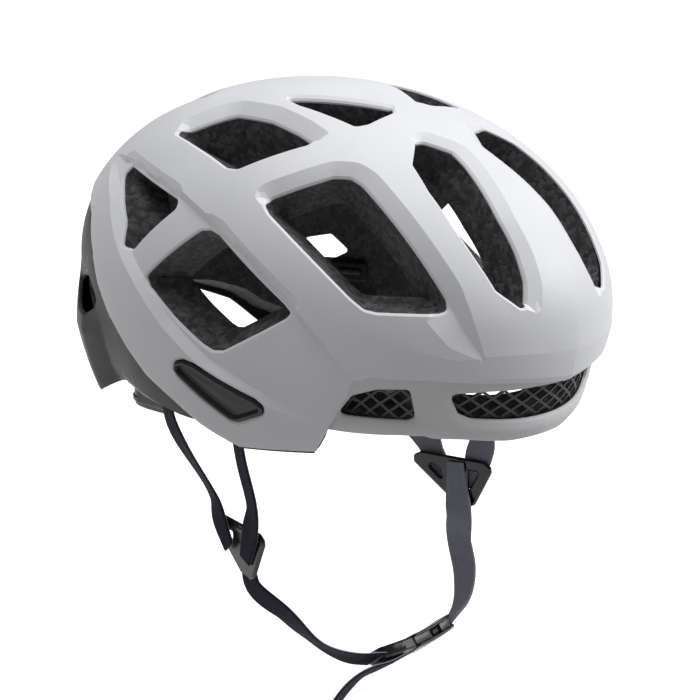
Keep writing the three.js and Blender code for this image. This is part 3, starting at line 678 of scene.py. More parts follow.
class Look:
    """A node material built step by step."""

    def __init__(self, name, roughness, **sockets):
        self.material = bpy.data.materials.new(name)
        self.material.use_nodes = True
        self.nodes = self.material.node_tree.nodes
        self.links = self.material.node_tree.links
        self.shader = self.nodes["Principled BSDF"]
        self.shader.inputs["Roughness"].default_value = roughness
        for socket, value in sockets.items():
            self.shader.inputs[socket.replace("_", " ")].default_value = value
        self.place = self.nodes.new("ShaderNodeTexCoord").outputs["Object"]

    def attribute(self, name):
        node = self.nodes.new("ShaderNodeAttribute")
        node.attribute_name = name
        return node.outputs["Vector"]

    def noise(self, scale, detail):
        node = self.nodes.new("ShaderNodeTexNoise")
        node.inputs["Scale"].default_value = scale
        node.inputs["Detail"].default_value = detail
        self.links.new(self.place, node.inputs["Vector"])
        return node.outputs["Fac"]

    def voronoi(self, scale, feature="F1", output="Distance"):
        node = self.nodes.new("ShaderNodeTexVoronoi")
        node.feature = feature
        node.inputs["Scale"].default_value = scale
        self.links.new(self.place, node.inputs["Vector"])
        return node.outputs[output]

    def math(self, operation, first, second=0.0):
        node = self.nodes.new("ShaderNodeMath")
        node.operation = operation
        for socket, value in zip(node.inputs, (first, second)):
            if isinstance(value, (int, float)):
                socket.default_value = value
            else:
                self.links.new(value, socket)
        return node.outputs[0]

    def part(self, vector, axis):
        node = self.nodes.new("ShaderNodeSeparateXYZ")
        self.links.new(vector, node.inputs[0])
        return node.outputs[axis]

    def ramp(self, factor, *stops):
        node = self.nodes.new("ShaderNodeValToRGB")
        self.links.new(factor, node.inputs["Fac"])
        while len(node.color_ramp.elements) < len(stops):
            node.color_ramp.elements.new(0.5)
        for element, (position, colour) in zip(node.color_ramp.elements, stops):
            element.position = position
            element.color = colour if isinstance(colour, tuple) else (colour, colour, colour, 1)
        return node.outputs["Color"]

    def mix(self, factor, first, second):
        node = self.nodes.new("ShaderNodeMix")
        node.data_type = "RGBA"
        sockets = [node.inputs["Factor"], *[s for s in node.inputs if s.type == "RGBA"]]
        for socket, value in zip(sockets, (factor, first, second)):
            if isinstance(value, (int, float, tuple)):
                socket.default_value = value
            else:
                self.links.new(value, socket)
        return [s for s in node.outputs if s.type == "RGBA"][0]

    def colour(self, value):
        self.links.new(value, self.shader.inputs["Base Color"])

    def roughness(self, value):
        self.links.new(value, self.shader.inputs["Roughness"])

    def bump(self, height, strength, distance):
        node = self.nodes.new("ShaderNodeBump")
        node.inputs["Strength"].default_value = strength
        node.inputs["Distance"].default_value = distance
        self.links.new(height, node.inputs["Height"])
        last = self.shader.inputs["Normal"].links
        if last:
            self.links.new(last[0].from_socket, node.inputs["Normal"])
        self.links.new(node.outputs[0], self.shader.inputs["Normal"])


def moulded(name, dark, light, roughness, grain=900, grain_depth=0.00003, **sockets):
    """Moulded plastic: a faint drift of colour, uneven gloss and a fine grain."""
    look = Look(name, roughness, **sockets)
    drift = look.noise(18, 4)
    look.colour(look.ramp(drift, (0.3, dark), (0.7, light)))
    smear = look.noise(55, 5)
    look.roughness(look.ramp(smear, (0.25, roughness - 0.05), (0.75, roughness + 0.07)))
    look.bump(look.noise(grain, 2), 0.35, grain_depth)
    return look.material


BEADS = 430  # to a metre


def beaded_foam():
    """Expanded foam: beads of about 2.5 mm, each its own grey, with dark pits between them."""
    look = Look("beaded_foam", 0.9)
    beads = look.voronoi(BEADS, output="Color")
    bead_tone = look.part(beads, "X")
    blotch = look.noise(130, 3)
    mixed = look.math("ADD", look.math("MULTIPLY", bead_tone, 0.45), look.math("MULTIPLY", blotch, 0.75))
    look.colour(look.ramp(
        mixed, (0.3, linear(40, 40, 41)), (0.55, linear(60, 60, 61)), (0.85, linear(92, 92, 94))))
    edge = look.voronoi(BEADS, "DISTANCE_TO_EDGE")
    look.bump(look.ramp(edge, (0.0, 0.0), (0.16, 1.0)), 0.5, 0.00022)
    look.bump(look.noise(700, 2), 0.3, 0.0001)
    look.roughness(look.ramp(blotch, (0.3, 0.82), (0.7, 0.97)))
    return look.material


WEFT_PITCH = 0.95  # millimetres from thread to thread
WARP_PITCH = 0.75


def woven(name, outer, inner):
    """Polyester webbing. The lay attribute holds millimetres along and across, and which face."""
    look = Look(name, 0.85, Sheen_Weight=0.03, Sheen_Roughness=0.5, Specular_IOR_Level=0.15)
    lay = look.attribute("lay")
    along, across, face = (look.part(lay, axis) for axis in ("X", "Y", "Z"))
    tilt = look.math("ADD", along, look.math("MULTIPLY", look.math("ABSOLUTE", look.math(
        "PINGPONG", across, 1.5)), 0.9))
    rows = look.math("SINE", look.math("MULTIPLY", tilt, 2 * math.pi / WEFT_PITCH))
    warp = look.math("SINE", look.math("MULTIPLY", across, 2 * math.pi / WARP_PITCH))
    thread = look.math("ADD", look.math("MULTIPLY", rows, 0.3), look.math("MULTIPLY", warp, 0.2))
    level = look.math("ADD", thread, 0.5)
    fuzz = look.noise(900, 4)
    shade = look.math("ADD", look.math("MULTIPLY", level, 0.6), look.math("MULTIPLY", fuzz, 0.5))
    out_dark, out_light = outer
    in_dark, in_light = inner
    outside = look.ramp(shade, (0.2, out_dark), (0.85, out_light))
    inside_face = look.ramp(shade, (0.2, in_dark), (0.85, in_light))
    look.colour(look.mix(look.math("LESS_THAN", face, 0.0), outside, inside_face))
    look.bump(level, 0.6, 0.00018)
    look.bump(fuzz, 0.25, 0.0001)
    return look.material


def knit():
    """Brushed knit over foam: rows of fine loops under a short nap."""
    look = Look("brushed_knit", 0.95, Sheen_Weight=0.35, Sheen_Roughness=0.6)
    loops = look.voronoi(1100)
    nap = look.noise(1600, 5)
    wear = look.noise(60, 4)
    tone = look.math("ADD", look.math("MULTIPLY", loops, 0.5), look.math("MULTIPLY", nap, 0.5))
    tone = look.math("ADD", tone, look.math("MULTIPLY", wear, 0.35))
    look.colour(look.ramp(tone, (0.3, linear(20, 20, 23)), (0.9, linear(62, 62, 68))))
    look.bump(loops, 0.5, 0.00025)
    look.bump(nap, 0.3, 0.00012)
    return look.material


white = moulded("satin_white", linear(229, 230, 235), linear(236, 237, 241), 0.52,
                Coat_Weight=0.05, Coat_Roughness=0.35, Specular_IOR_Level=0.35)
pale = moulded("satin_pale_grey", linear(214, 214, 217), linear(224, 224, 227), 0.52,
               Specular_IOR_Level=0.35)
charcoal = moulded("satin_charcoal", linear(32, 32, 34), linear(40, 40, 43), 0.5, Specular_IOR_Level=0.25)
black = moulded("grained_black", linear(15, 15, 17), linear(23, 23, 26), 0.45, grain=1500,
                Specular_IOR_Level=0.3)
gloss = moulded("polished_black", linear(15, 15, 19), linear(22, 22, 28), 0.3, Specular_IOR_Level=0.4)
ring_black = moulded("flexible_black", linear(28, 28, 30), linear(38, 38, 41), 0.5)
rubber = moulded("grip_rubber", linear(24, 24, 26), linear(33, 33, 35), 0.75, grain=700,
                 grain_depth=0.00008)
net_black = moulded("net_black", linear(20, 20, 22), linear(32, 32, 34), 0.7, grain=1300)
foam = beaded_foam()
webbing_look = woven("webbing", (linear(9, 8, 20), linear(24, 23, 46)),
                     (linear(132, 133, 148), linear(184, 185, 200)))
knit_look = knit()


# ---------------------------------------------------------------- shells
def around(start, end, step):
    return np.linspace(start, end, max(2, round((end - start) / step) + 1))


def ring_points(edge):
    """A closed chart loop along a lower edge, with the edge's own knots in it."""
    knots = [k[0] for k in edge[1:-1]]
    azimuths = sorted({*np.round(np.arange(0, 360, 1.2), 3), *knots, *[360 - k for k in knots]})
    return edge_chart(edge, np.array(azimuths))


def white_shell():
    outline = ring_points(SHELL_EDGE)
    holes = [vent.chart for vent in white_vents] + pod_pockets
    lines = outline_lines(outline, holes) + [vent.offset(vent.bevel) for vent in vents]
    for panel in panels:
        lines += panel.lines()
    front = np.linspace(-BRIM_END, BRIM_END, 70)
    lines.append(chart_at(front, polar_on(SHELL_EDGE, front, BRIM)))
    wide = np.linspace(-SKIRT_END + 1, SKIRT_END - 1, 60)
    lines.append(chart_at(wide, polar_on(SKIRT, wide)))
    down = polar_at_height(0, PROW_TOP)[0], polar_at_height(0, SHELL_EDGE[0][1])[0]
    lines += [chart_at(turn, np.linspace(*down, 30)) for turn in (-PROW_SPREAD, 0, PROW_SPREAD)]
    chart, faces = triangulated(outline, holes, lines, 1.7)
    relief = shell_relief(from_chart(chart))
    outer = relief + rolled(raised(chart), outline, holes)
    sheet("white_shell", "outer_shell", "white_shell", white, 8, chart, faces, outer, relief - SHELL)


class BandOpening(Opening):
    """An opening in the brow band, bevelled all the way round."""

    def __init__(self, outline):
        super().__init__(outline, 3.6, 3, corner=3, everywhere=True, depth=0.34)


brow_openings = [BandOpening(BROW_CENTRE), BandOpening(BROW_SIDE), BandOpening(mirror(BROW_SIDE))]
BAND_STEP = [(-57, -114, 30), (-50, -113, 0)]  # where the prouder middle of the band ends
BAND_PROUD = 1.3
BAND_TUCK = 1.2  # degrees that the band reaches up under the brim
BAND_STEP_WIDTH = 0.8  # degrees
BAND_RISE = 3.2  # how much less the band is recessed at its ends
BAND_FOOT = 5  # height of the fold along the band's lower edge
BAND_FOLD = 1.4  # how far that fold turns in


def step_azimuth(height):
    """Azimuth of the edge of the band's raised middle at a height."""
    (x0, y0, z0), (x1, y1, z1) = BAND_STEP
    share = (height - z1) / (z0 - z1)
    return np.degrees(np.arctan2(-(x1 + (x0 - x1) * share), -(y1 + (y0 - y1) * share)))


def band_lift(dirs):
    points = on_dome(dirs)
    azimuth = azimuth_of(dirs)
    lift = -BROW_RECESS + BAND_RISE * smooth_step(24, BROW_END, azimuth)
    lift += BAND_PROUD * np.clip((step_azimuth(points[:, 2]) - azimuth) / BAND_STEP_WIDTH, 0, 1)
    foot = height_on(RIM_EDGE, azimuth) + BAND_FOOT
    lift -= BAND_FOLD * np.clip((foot - points[:, 2]) / BAND_FOOT, 0, 1)
    return lift + sum(opening.lift(points) for opening in brow_openings)


def brow_band():
    top = around(-BROW_END, BROW_END, 1.2)
    outline = np.vstack([edge_chart(SHELL_EDGE, top, -BAND_TUCK), edge_chart(RIM_EDGE, top[::-1])])
    holes = [opening.chart for opening in brow_openings]
    lines = outline_lines(outline, holes) + [opening.offset(opening.bevel) for opening in brow_openings]
    lines.append(chart_at(top, polar_on(RIM_EDGE, top, BAND_FOOT)))
    heights = np.linspace(-2, 36, 24)
    for side in (-1, 1):
        for extra in (0, BAND_STEP_WIDTH):
            azimuth = side * (step_azimuth(heights) - extra)
            lines.append(chart_at(azimuth, polar_at_height(azimuth, heights)))
    chart, faces = triangulated(outline, holes, lines, 1.3)
    lift = band_lift(from_chart(chart))
    outer = lift + rolled(raised(chart), outline, holes)
    sheet("brow_band", "brow_shell", "brow_band", pale, 24, chart, faces, outer, lift - BROW_WALL)


# ---------------------------------------------------------------- dark rear shell
LOBE_RISE = 6.5
LOBE_MIDDLE = 141  # azimuth
LOBE_HALF = 12
LOBE_TOP = 0.35  # share of the rear shell's height
LOBE_SLOPE = 0.3
LOBE_STEEP = 1.6  # how much of the lobe's width its sides leave to its plateau
HEM_TOP = 0.86  # share of the height where the lower edge starts to turn in
HEM_DEPTH = 1.6


def rear_share(azimuths, chart):
    """How far down the rear shell each place is, from 0 at its top edge to 1 at its lower edge."""
    top = polar_on(SHELL_EDGE, azimuths)
    return (np.hypot(*chart.T) - top) / np.maximum(polar_on(RIM_EDGE, azimuths) - top, 0.5)


def rear_lift(dirs, chart):
    azimuth = azimuth_of(dirs)
    across = np.clip((1 - np.abs(azimuth - LOBE_MIDDLE) / LOBE_HALF) * LOBE_STEEP, 0, 1)
    share = rear_share(azimuth, chart)
    down = np.clip((share - LOBE_TOP) / LOBE_SLOPE, 0, 1)
    hem = HEM_DEPTH * np.clip((share - HEM_TOP) / (1 - HEM_TOP), 0, 1)
    return -REAR_RECESS + LOBE_RISE * across * down - hem * (1 - across)


def rear_line(azimuths, shares):
    top, bottom = polar_on(SHELL_EDGE, azimuths), polar_on(RIM_EDGE, azimuths)
    return chart_at(azimuths, top + (bottom - top) * shares)


def rear_skin():
    azimuths = around(REAR_START, 360 - REAR_START, 1.5)
    outline = np.vstack([edge_chart(SHELL_EDGE, azimuths, -0.8), edge_chart(RIM_EDGE, azimuths[::-1], 0.3)])
    holes = [vent.chart for vent in rear_vents]
    lines = outline_lines(outline, holes) + [vent.offset(vent.bevel) for vent in rear_vents]
    plateau = LOBE_HALF * (1 - 1 / LOBE_STEEP)
    for middle in (LOBE_MIDDLE, 360 - LOBE_MIDDLE):
        for edge in (-LOBE_HALF, -plateau, plateau, LOBE_HALF):
            lines.append(rear_line(np.full(14, middle + edge), np.linspace(LOBE_TOP, 1, 14)))
        for share in (LOBE_TOP, LOBE_TOP + LOBE_SLOPE):
            lines.append(rear_line(around(middle - LOBE_HALF, middle + LOBE_HALF, 1.2), share))
    lines.append(rear_line(azimuths, HEM_TOP))
    chart, faces = triangulated(outline, holes, lines, 1.6)
    dirs = from_chart(chart)
    flat = on_dome(dirs)
    lift = rear_lift(dirs, chart) + sum(vent.lift(flat) for vent in rear_vents)
    outer = lift + rolled(flat, outline, holes)
    sheet("rear_skin", "rear_shell", "dark_shell", charcoal, 22, chart, faces, outer, lift - REAR_WALL)


# ---------------------------------------------------------------- foam liner
FOAM_FOLD = 11  # depth at which an opening's foam wall turns in more steeply
FOAM_EDGE = 1.2  # height of the first ring of the foam's lower edge


def foam_recess(azimuth):
    front = BROW_RECESS + BROW_WALL + NET_WALL + 2 * NET_GAP - SHELL - GAP
    back = REAR_RECESS + REAR_WALL + REAR_GAP - SHELL - GAP
    return np.where(azimuth <= BROW_END, front, np.where(azimuth >= 85, back, 0.0))


def foam_lift(dirs, chart):
    azimuth = azimuth_of(dirs)
    down = np.clip((np.hypot(*chart.T) - polar_on(SHELL_EDGE, azimuth)) / LOWER_START, 0, 1)
    relief = np.minimum(shell_relief(dirs), 0) * (1 - down)
    lift = relief - SHELL - GAP - foam_recess(azimuth) * down
    for pocket in pod_pockets:
        lift = np.where(inside(chart, pocket), np.minimum(lift, -POD_DEPTH - 4 * GAP), lift)
    return lift


def foam_liner():
    azimuths = np.arange(0, 360, 1.5)
    edge = polar_on(SHELL_EDGE, azimuths)
    outline = chart_at(azimuths, np.maximum(polar_on(LINER_EDGE, azimuths), edge + 2 * LOWER_START))
    openings = vents + brow_openings
    lines = [joined(chart_at(azimuths, edge + down)) for down in (0, LOWER_START)]
    chart, top = triangulated(outline, [opening.chart for opening in openings], lines, 2.6)
    points = [raised(chart, foam_lift(from_chart(chart), chart))]
    faces = [tuple(face) for face in top]

    loops = []
    for opening in openings:
        steep = opening.drawn_in(opening.funnel)
        fold = opening.drawn_in(0.3 * opening.funnel)
        loops.append(steep)
        start = foam_lift(from_chart(opening.chart), opening.chart)
        fold_lift = np.minimum(start - 2, -FOAM_FOLD)
        add_rings(points, faces, [raised(opening.chart, start), raised(fold, fold_lift),
                                  raised(steep, -LINER)])
    chart, bottom = triangulated(outline, loops, [], 3.2)
    first = sum(len(p) for p in points)
    points.append(raised(chart, -LINER))
    faces += [(a + first, c + first, b + first) for a, b, c in bottom]
    lift = foam_lift(from_chart(outline), outline)
    add_rings(points, faces, [raised(outline, depth) for depth in
                              (lift, lift - FOAM_EDGE, (lift - LINER) / 2, -LINER)])
    liner = mesh_object("foam_liner", np.vstack(points), faces, foam, sharp=28, merge=0.03)
    place(liner, "helmet", "foam", "eps_liner")


def add_rings(points, faces, rings):
    """Joins closed rings of the same length with quads."""
    first = sum(len(p) for p in points)
    count = len(rings[0])
    points.extend(rings)
    for r in range(len(rings) - 1):
        for i in range(count):
            a, b = first + r * count + i, first + r * count + (i + 1) % count
            faces.append((a, b, b + count, a + count))


# ---------------------------------------------------------------- side pods and brow nets
POD_RIM = 2.2
POD_PROUD = 0.9
POD_DISH = 1.9
POD_ROLL = 0.8


def side_pod(name, flip):
    loop = raised(to_chart(rounded(flip(POD), 4, 1.6)))
    out = outward_normals(loop)
    rings = [to_chart(loop - out * inset) for inset in (0.5, 1.3, POD_RIM, POD_RIM + 0.9, POD_RIM + 2.4)]
    outline = rings[0]
    chart, faces = triangulated(outline, [], [joined(ring) for ring in rings[1:]], 0.8)
    flat = raised(chart)
    gap, _ = nearest(flat, raised(outline), True)
    along = np.clip((flat[:, 1] + 48) / 50, 0, 1)
    lift = POD_PROUD - POD_DISH * np.clip((gap - POD_RIM + 0.5) / 0.9, 0, 1)
    lift += POD_ROLL * along * np.clip((gap - POD_RIM - 1.9) / 2.5, 0, 1)
    lift -= POD_ROLL * np.clip(1 - gap / POD_ROLL, 0, 1) ** 2
    sheet(name, name, "black_plastic", black, 26, chart, faces, lift, -POD_DEPTH)


NETS = {"centre": (-24, 24), "right": (25.5, 43), "left": (-43, -25.5)}  # azimuths of their ends
NET_LOW = 8.7  # height of the net's lower edge
NET_DROP = 2.6  # the net starts this far below the brim
NET_RADIUS = 138  # the band's distance from the middle at the front, for sizes along it
NET_FRAME = 0.8  # degrees of plain frame at each end
NET_ROWS = 3
DIAMOND = 10.5  # width of one mesh of the net
BAR_SHARE = 0.42  # share of each mesh that its bars take up
RAIL_SHARE = 0.04  # share of the net's height that the frame takes up above and below
SMALLEST = 0.12  # a clipped mesh with less than this share of its area is left closed


def brow_net(name, start, end):
    """A moulded net: a frame filled with diamonds, cut through a thin curved sheet."""
    azimuths = around(start, end, 1.0)
    outline = np.vstack([chart_at(azimuths, polar_on(SHELL_EDGE, azimuths, -NET_DROP)),
                         chart_at(azimuths[::-1], polar_at_height(azimuths, NET_LOW)[::-1])])
    width = end - start - 1.5
    count = max(2, round(width / math.degrees(DIAMOND / NET_RADIUS)))
    turn = width / count
    holes = []
    for row in range(2 * NET_ROWS + 1):
        for column in range(count + 1):
            middle = start + 0.75 + (column + (0.5 if row % 2 else 0)) * turn
            share = row / (2 * NET_ROWS)
            holes += diamond(middle, share, turn, 1 / NET_ROWS, start + NET_FRAME, end - NET_FRAME)
    chart, faces = triangulated(outline, holes, [], 1.2)
    lift = -BROW_RECESS - BROW_WALL - NET_GAP
    sheet(name, name, "net", net_black, 40, chart, faces, lift, lift - NET_WALL)


def diamond(azimuth, share, turn, height, start, end):
    """One diamond of the net, drawn in by half a bar, and clipped to the net's frame."""
    corners = [(0, -0.5), (0.5, 0), (0, 0.5), (-0.5, 0)]
    drawn = 1 - BAR_SHARE * 0.5
    shape = [(azimuth + u * turn * drawn, share + v * height * drawn) for u, v in corners]
    frame_edges = ((0, start, 1), (0, end, -1), (1, RAIL_SHARE, 1), (1, 1 - RAIL_SHARE, -1))
    for axis, limit, sign in frame_edges:
        shape = clipped(shape, axis, limit, sign)
        if len(shape) < 3:
            return []
    area = sum(a[0] * b[1] - b[0] * a[1] for a, b in zip(shape, shape[1:] + shape[:1])) / 2
    if abs(area) < SMALLEST * turn * height:
        return []
    azimuths, shares = np.array(shape).T
    top = polar_on(SHELL_EDGE, azimuths, -NET_DROP)
    return [chart_at(azimuths, top + (polar_at_height(azimuths, NET_LOW) - top) * shares)]


def clipped(shape, axis, limit, sign):
    kept = []
    for a, b in zip(shape, shape[1:] + shape[:1]):
        a_in, b_in = sign * (a[axis] - limit) >= 0, sign * (b[axis] - limit) >= 0
        if a_in:
            kept.append(a)
        if a_in != b_in:
            t = (limit - a[axis]) / (b[axis] - a[axis])
            kept.append((a[0] + (b[0] - a[0]) * t, a[1] + (b[1] - a[1]) * t))
    return kept


# ---------------------------------------------------------------- flat straps and swept bands
WEB = 15
WEB_THICK = 1.2
WEB_SECTION = [
    (-1, 0), (-0.95, 0.8), (-0.8, 1), (-0.4, 0.92), (0, 0.96), (0.4, 0.92), (0.8, 1), (0.95, 0.8),
    (1, 0), (0.95, -0.8), (0.8, -1), (0.4, -0.92), (0, -0.96), (-0.4, -0.92), (-0.8, -1), (-0.95, -0.8),
]
BAR_SECTION = [
    (-1, -0.4), (-1, 0.4), (-0.94, 0.85), (-0.84, 1), (0, 1), (0.84, 1), (0.94, 0.85), (1, 0.4),
    (1, -0.4), (0.94, -0.85), (0.84, -1), (0, -1), (-0.84, -1), (-0.94, -0.85),
]


def centripetal(points, count):
    """Points along the smooth curve through these, spaced as three.js spaces them."""
    knots = [np.array(p, float) for p in points]
    knots = [2 * knots[0] - knots[1], *knots, 2 * knots[-1] - knots[-2]]
    found = []
    for i in range(count + 1):
        t = i / count * (len(points) - 1)
        k = min(int(t), len(points) - 2)
        t -= k
        p = knots[k:k + 4]
        gaps = [max(np.linalg.norm(b - a), 1e-6) ** 0.5 for a, b in zip(p, p[1:])]
        start = ((p[1] - p[0]) / gaps[0] - (p[2] - p[0]) / (gaps[0] + gaps[1])
                 + (p[2] - p[1]) / gaps[1]) * gaps[1]
        end = ((p[2] - p[1]) / gaps[1] - (p[3] - p[1]) / (gaps[1] + gaps[2])
               + (p[3] - p[2]) / gaps[2]) * gaps[1]
        a = p[1]
        c = -3 * p[1] + 3 * p[2] - 2 * start - end
        d = 2 * p[1] - 2 * p[2] + start + end
        found.append(a + start * t + c * t * t + d * t ** 3)
    return np.array(found)


def square_to(face, along):
    """The face direction without its part along the line."""
    return unit(face - along * (face * along).sum(-1, keepdims=True))


def carried(along, shares, keys):
    """Face directions that follow a line with no needless twist. along holds the line's directions,
    and keys the share of the way and the wanted face at a few places."""
    faces = [square_to(np.array(keys[0][1], float), along[0])]
    for way in along[1:]:
        faces.append(square_to(faces[-1], way))
    faces = np.array(faces)
    side = np.cross(along, faces)
    wanted = []
    for share, face in keys:
        i = np.argmin(np.abs(shares - share))
        wanted.append(math.atan2(face @ side[i], face @ faces[i]))
    turn = np.interp(shares, [share for share, _ in keys], np.unwrap(wanted))
    for _ in range(8):
        turn[1:-1] = (turn[:-2] + 2 * turn[1:-1] + turn[2:]) / 4
    return faces * np.cos(turn)[:, None] + side * np.sin(turn)[:, None]


def swept(points, faces, width, thick, section, step=2.2, keys=None, gather=None):
    """A bar through the points. Returns its points, faces and the lay of each point."""
    rough = centripetal(points, 60)
    length = np.linalg.norm(np.diff(rough, axis=0), axis=1).sum()
    line = centripetal(points, max(6, round(length / step)))
    along = unit(np.gradient(line, axis=0))
    travelled = np.concatenate([[0], np.cumsum(np.linalg.norm(np.diff(line, axis=0), axis=1))])
    if keys:
        face = carried(along, travelled / travelled[-1], keys)
    else:
        looks = np.array(faces, float)
        spots = np.linspace(0, len(looks) - 1, len(line))
        face = np.column_stack([np.interp(spots, np.arange(len(looks)), looks[:, k]) for k in range(3)])
        face = square_to(face, along)
    side = np.cross(along, face)
    if gather:
        width = width * np.interp(travelled / travelled[-1], *zip(*gather))[:, None]
    out, lay, quads = [], [], []
    for s, f in section:
        out.append(line + side * s * width / 2 + face * f * thick / 2)
        lay.append(np.column_stack([travelled, np.full(len(line), s * WEB / 2),
                                    np.full(len(line), float(f))]))
    count, turns = len(line), len(section)
    for j in range(turns):
        k = (j + 1) % turns
        quads += [(j * count + i, k * count + i, k * count + i + 1, j * count + i + 1)
                  for i in range(count - 1)]
    quads.append(tuple(j * count for j in range(turns)))
    quads.append(tuple(j * count + count - 1 for j in reversed(range(turns))))
    return np.vstack(out), quads, np.vstack(lay)


def strap(name, points, keys, gather, width=WEB):
    keys = [(share, np.array(face, float)) for share, face in keys]
    points, quads, lay = swept(points, None, width, WEB_THICK, WEB_SECTION, keys=keys, gather=gather)
    obj = mesh_object(name, points, quads, webbing_look, sharp=70)
    attribute = obj.data.attributes.new("lay", "FLOAT_VECTOR", "POINT")
    attribute.data.foreach_set("vector", lay.astype(np.float32).ravel())
    return obj


def assembled(name, parts, look, body, slot, sharp=35):
    """One piece from several closed bodies, each given as points and faces, in place on its body."""
    points, faces, first = [], [], 0
    for body_points, body_faces in parts:
        points.append(body_points)
        faces += [tuple(i + first for i in face) for face in body_faces]
        first += len(body_points)
    place(mesh_object(name, np.vstack(points), faces, look, sharp=sharp), body, slot, name)


def flat_body(outline, depth, holes=(), corner=1.0, roll=0.6, rise=None, spacing=1.6, lines=()):
    """A plate in X and Y from -depth/2 to depth/2, its edges rolled over, raised by rise(x, y)."""
    outline = flat_rounded(outline, corner)
    holes = [flat_rounded(hole, corner * 0.6) for hole in holes]
    loops = [outline, *holes]
    inset = []
    for n, loop in enumerate(loops):
        way = flat_outward(loop) * (1 if n else -1)
        inset += [joined(loop + way * roll * share) for share in (0.35, 1.0)]
    chart, faces = triangulated(outline, holes, inset + [np.array(line, float) for line in lines], spacing)
    gap = np.min([nearest(chart, loop, True)[0] for loop in loops], axis=0)
    fall = roll * (1 - np.sqrt(np.clip(1 - np.clip(1 - gap / roll, 0, 1) ** 2, 0, 1)))
    upper = depth / 2 - fall + (rise(*chart.T) if rise else 0)
    return thick(chart, faces, np.column_stack([chart, upper]), np.column_stack([chart, fall - depth / 2]))


def flat_rounded(outline, radius):
    return rounded([(x, y, 0) for x, y in outline], radius, 1.5)[:, :2]


def flat_outward(loop):
    along = np.roll(loop, -1, axis=0) - np.roll(loop, 1, axis=0)
    side = unit(np.column_stack([along[:, 1], -along[:, 0]]))
    return -side if ((loop - loop.mean(0)) * side).sum() < 0 else side


def moved(body, matrix):
    points, faces = body
    array = np.array(matrix)
    return points @ array[:3, :3].T + array[:3, 3], faces


def axes(origin, x, y, z):
    matrix = Matrix.Identity(4)
    for column, axis in enumerate((x, y, z, origin)):
        for row in range(3):
            matrix[row][column] = axis[row]
    return matrix


def box(start, end, half):
    """A rectangle between two X values, half to each side of the middle."""
    return [(start, -half), (end, -half), (end, half), (start, half)]


def wheel(reach, count):
    """An outline round the middle. reach is its radius, or a formula for it at each turn."""
    found = []
    for i in range(count):
        turn = 2 * math.pi * i / count
        radius = reach(turn) if callable(reach) else reach
        found.append((radius * math.cos(turn), radius * math.sin(turn)))
    return found


def disc(radius, depth, count=40, roll=0.5):
    return flat_body(wheel(radius, count), depth, corner=0.01, roll=roll, spacing=radius / 4)


# ---------------------------------------------------------------- strap dividers
DIVIDERS = {
    "right": {"centre": (-66, -6, -62), "side": -1},
    "left": {"centre": (66, -13, -57), "side": 1},
}
DIVIDER_TURN = math.radians(13)
DIVIDER_THICK = 2.4
DIVIDER_OUTLINE = [
    (-21.5, 8.5), (-21.5, 5), (2, -12), (10, -13), (13, -11.5), (22, 6), (21.5, 9), (18, 11), (-17, 11),
]
DIVIDER_WINDOWS = [
    [(-14, 5.5), (-5, 5.5), (-5, -1.5)],
    [(9, 5.5), (15.5, 5.5), (9, -6.5)],
]
SLACK = 0.35
UNDER = DIVIDER_THICK / 2 + WEB_THICK / 2 + SLACK  # a strap lying on the divider's face
OVER = UNDER + WEB_THICK + SLACK  # a strap lying on that strap


def on_divider(divider, u, v, out):
    x, y, z = divider["centre"]
    side = divider["side"]
    return (
        x + side * (u * math.sin(DIVIDER_TURN) + out * math.cos(DIVIDER_TURN)),
        y - u * math.cos(DIVIDER_TURN) + out * math.sin(DIVIDER_TURN),
        z + v,
    )


def outwards(divider):
    return (divider["side"] * math.cos(DIVIDER_TURN), math.sin(DIVIDER_TURN), 0)


def strap_divider(name, divider):
    centre = np.array(divider["centre"], float)
    u = np.array(on_divider(divider, 1, 0, 0)) - centre
    out = np.array(outwards(divider))

    def crown(x, y):
        return 0.5 * np.clip(1 - np.hypot(x / 21, (y + 1) / 12), 0, 1)

    plate = flat_body(DIVIDER_OUTLINE, DIVIDER_THICK, DIVIDER_WINDOWS, corner=2.0, roll=0.8, rise=crown)
    ridge = flat_body([(-20, 7.2), (-19, 9.7), (18, 9.7), (19.6, 7.2)], 1.2, corner=1.0, roll=0.5)
    plate = moved(plate, axes(centre, u, Z, out))
    ridge = moved(ridge, axes(centre + out * (DIVIDER_THICK / 2 + 0.1), u, Z, out))
    assembled(name, [plate, ridge], gloss, name, "black_plastic")


# The way the hanging straps' outer faces look, in degrees from the front round to the right, and
# the way the webbing lies on its slope further down. The buckle's pull turns the right side's
# webbing further back than the left side's.
HANGING = {"right": 116, "left": -98}
REAR_SLOPE = {"right": (-0.72, 0.42, -0.5), "left": (0.9, 0.2, -0.35)}
CHIN_SLOPE = {"right": (-0.64, 0.06, -0.76), "left": (0.95, 0, -0.3)}
AT_DIVIDER = [(0, 1), (0.8, 1), (1, 0.6)]  # straps are gathered into the divider's slots
FROM_DIVIDER = [(0, 0.6), (0.1, 0.75), (0.24, 1), (1, 1)]


def facing(azimuth):
    return (-math.sin(math.radians(azimuth)), -math.cos(math.radians(azimuth)), 0)


FRONT_STRAP = [(-69, -3, 15), (-67.5, -4, 5), (-68.5, -7, -8), (-69.5, -11, -20)]
REAR_STRAP = [(-59, 51, 25), (-58, 51, 16), (-60, 50, 0), (-61.5, 46, -14)]


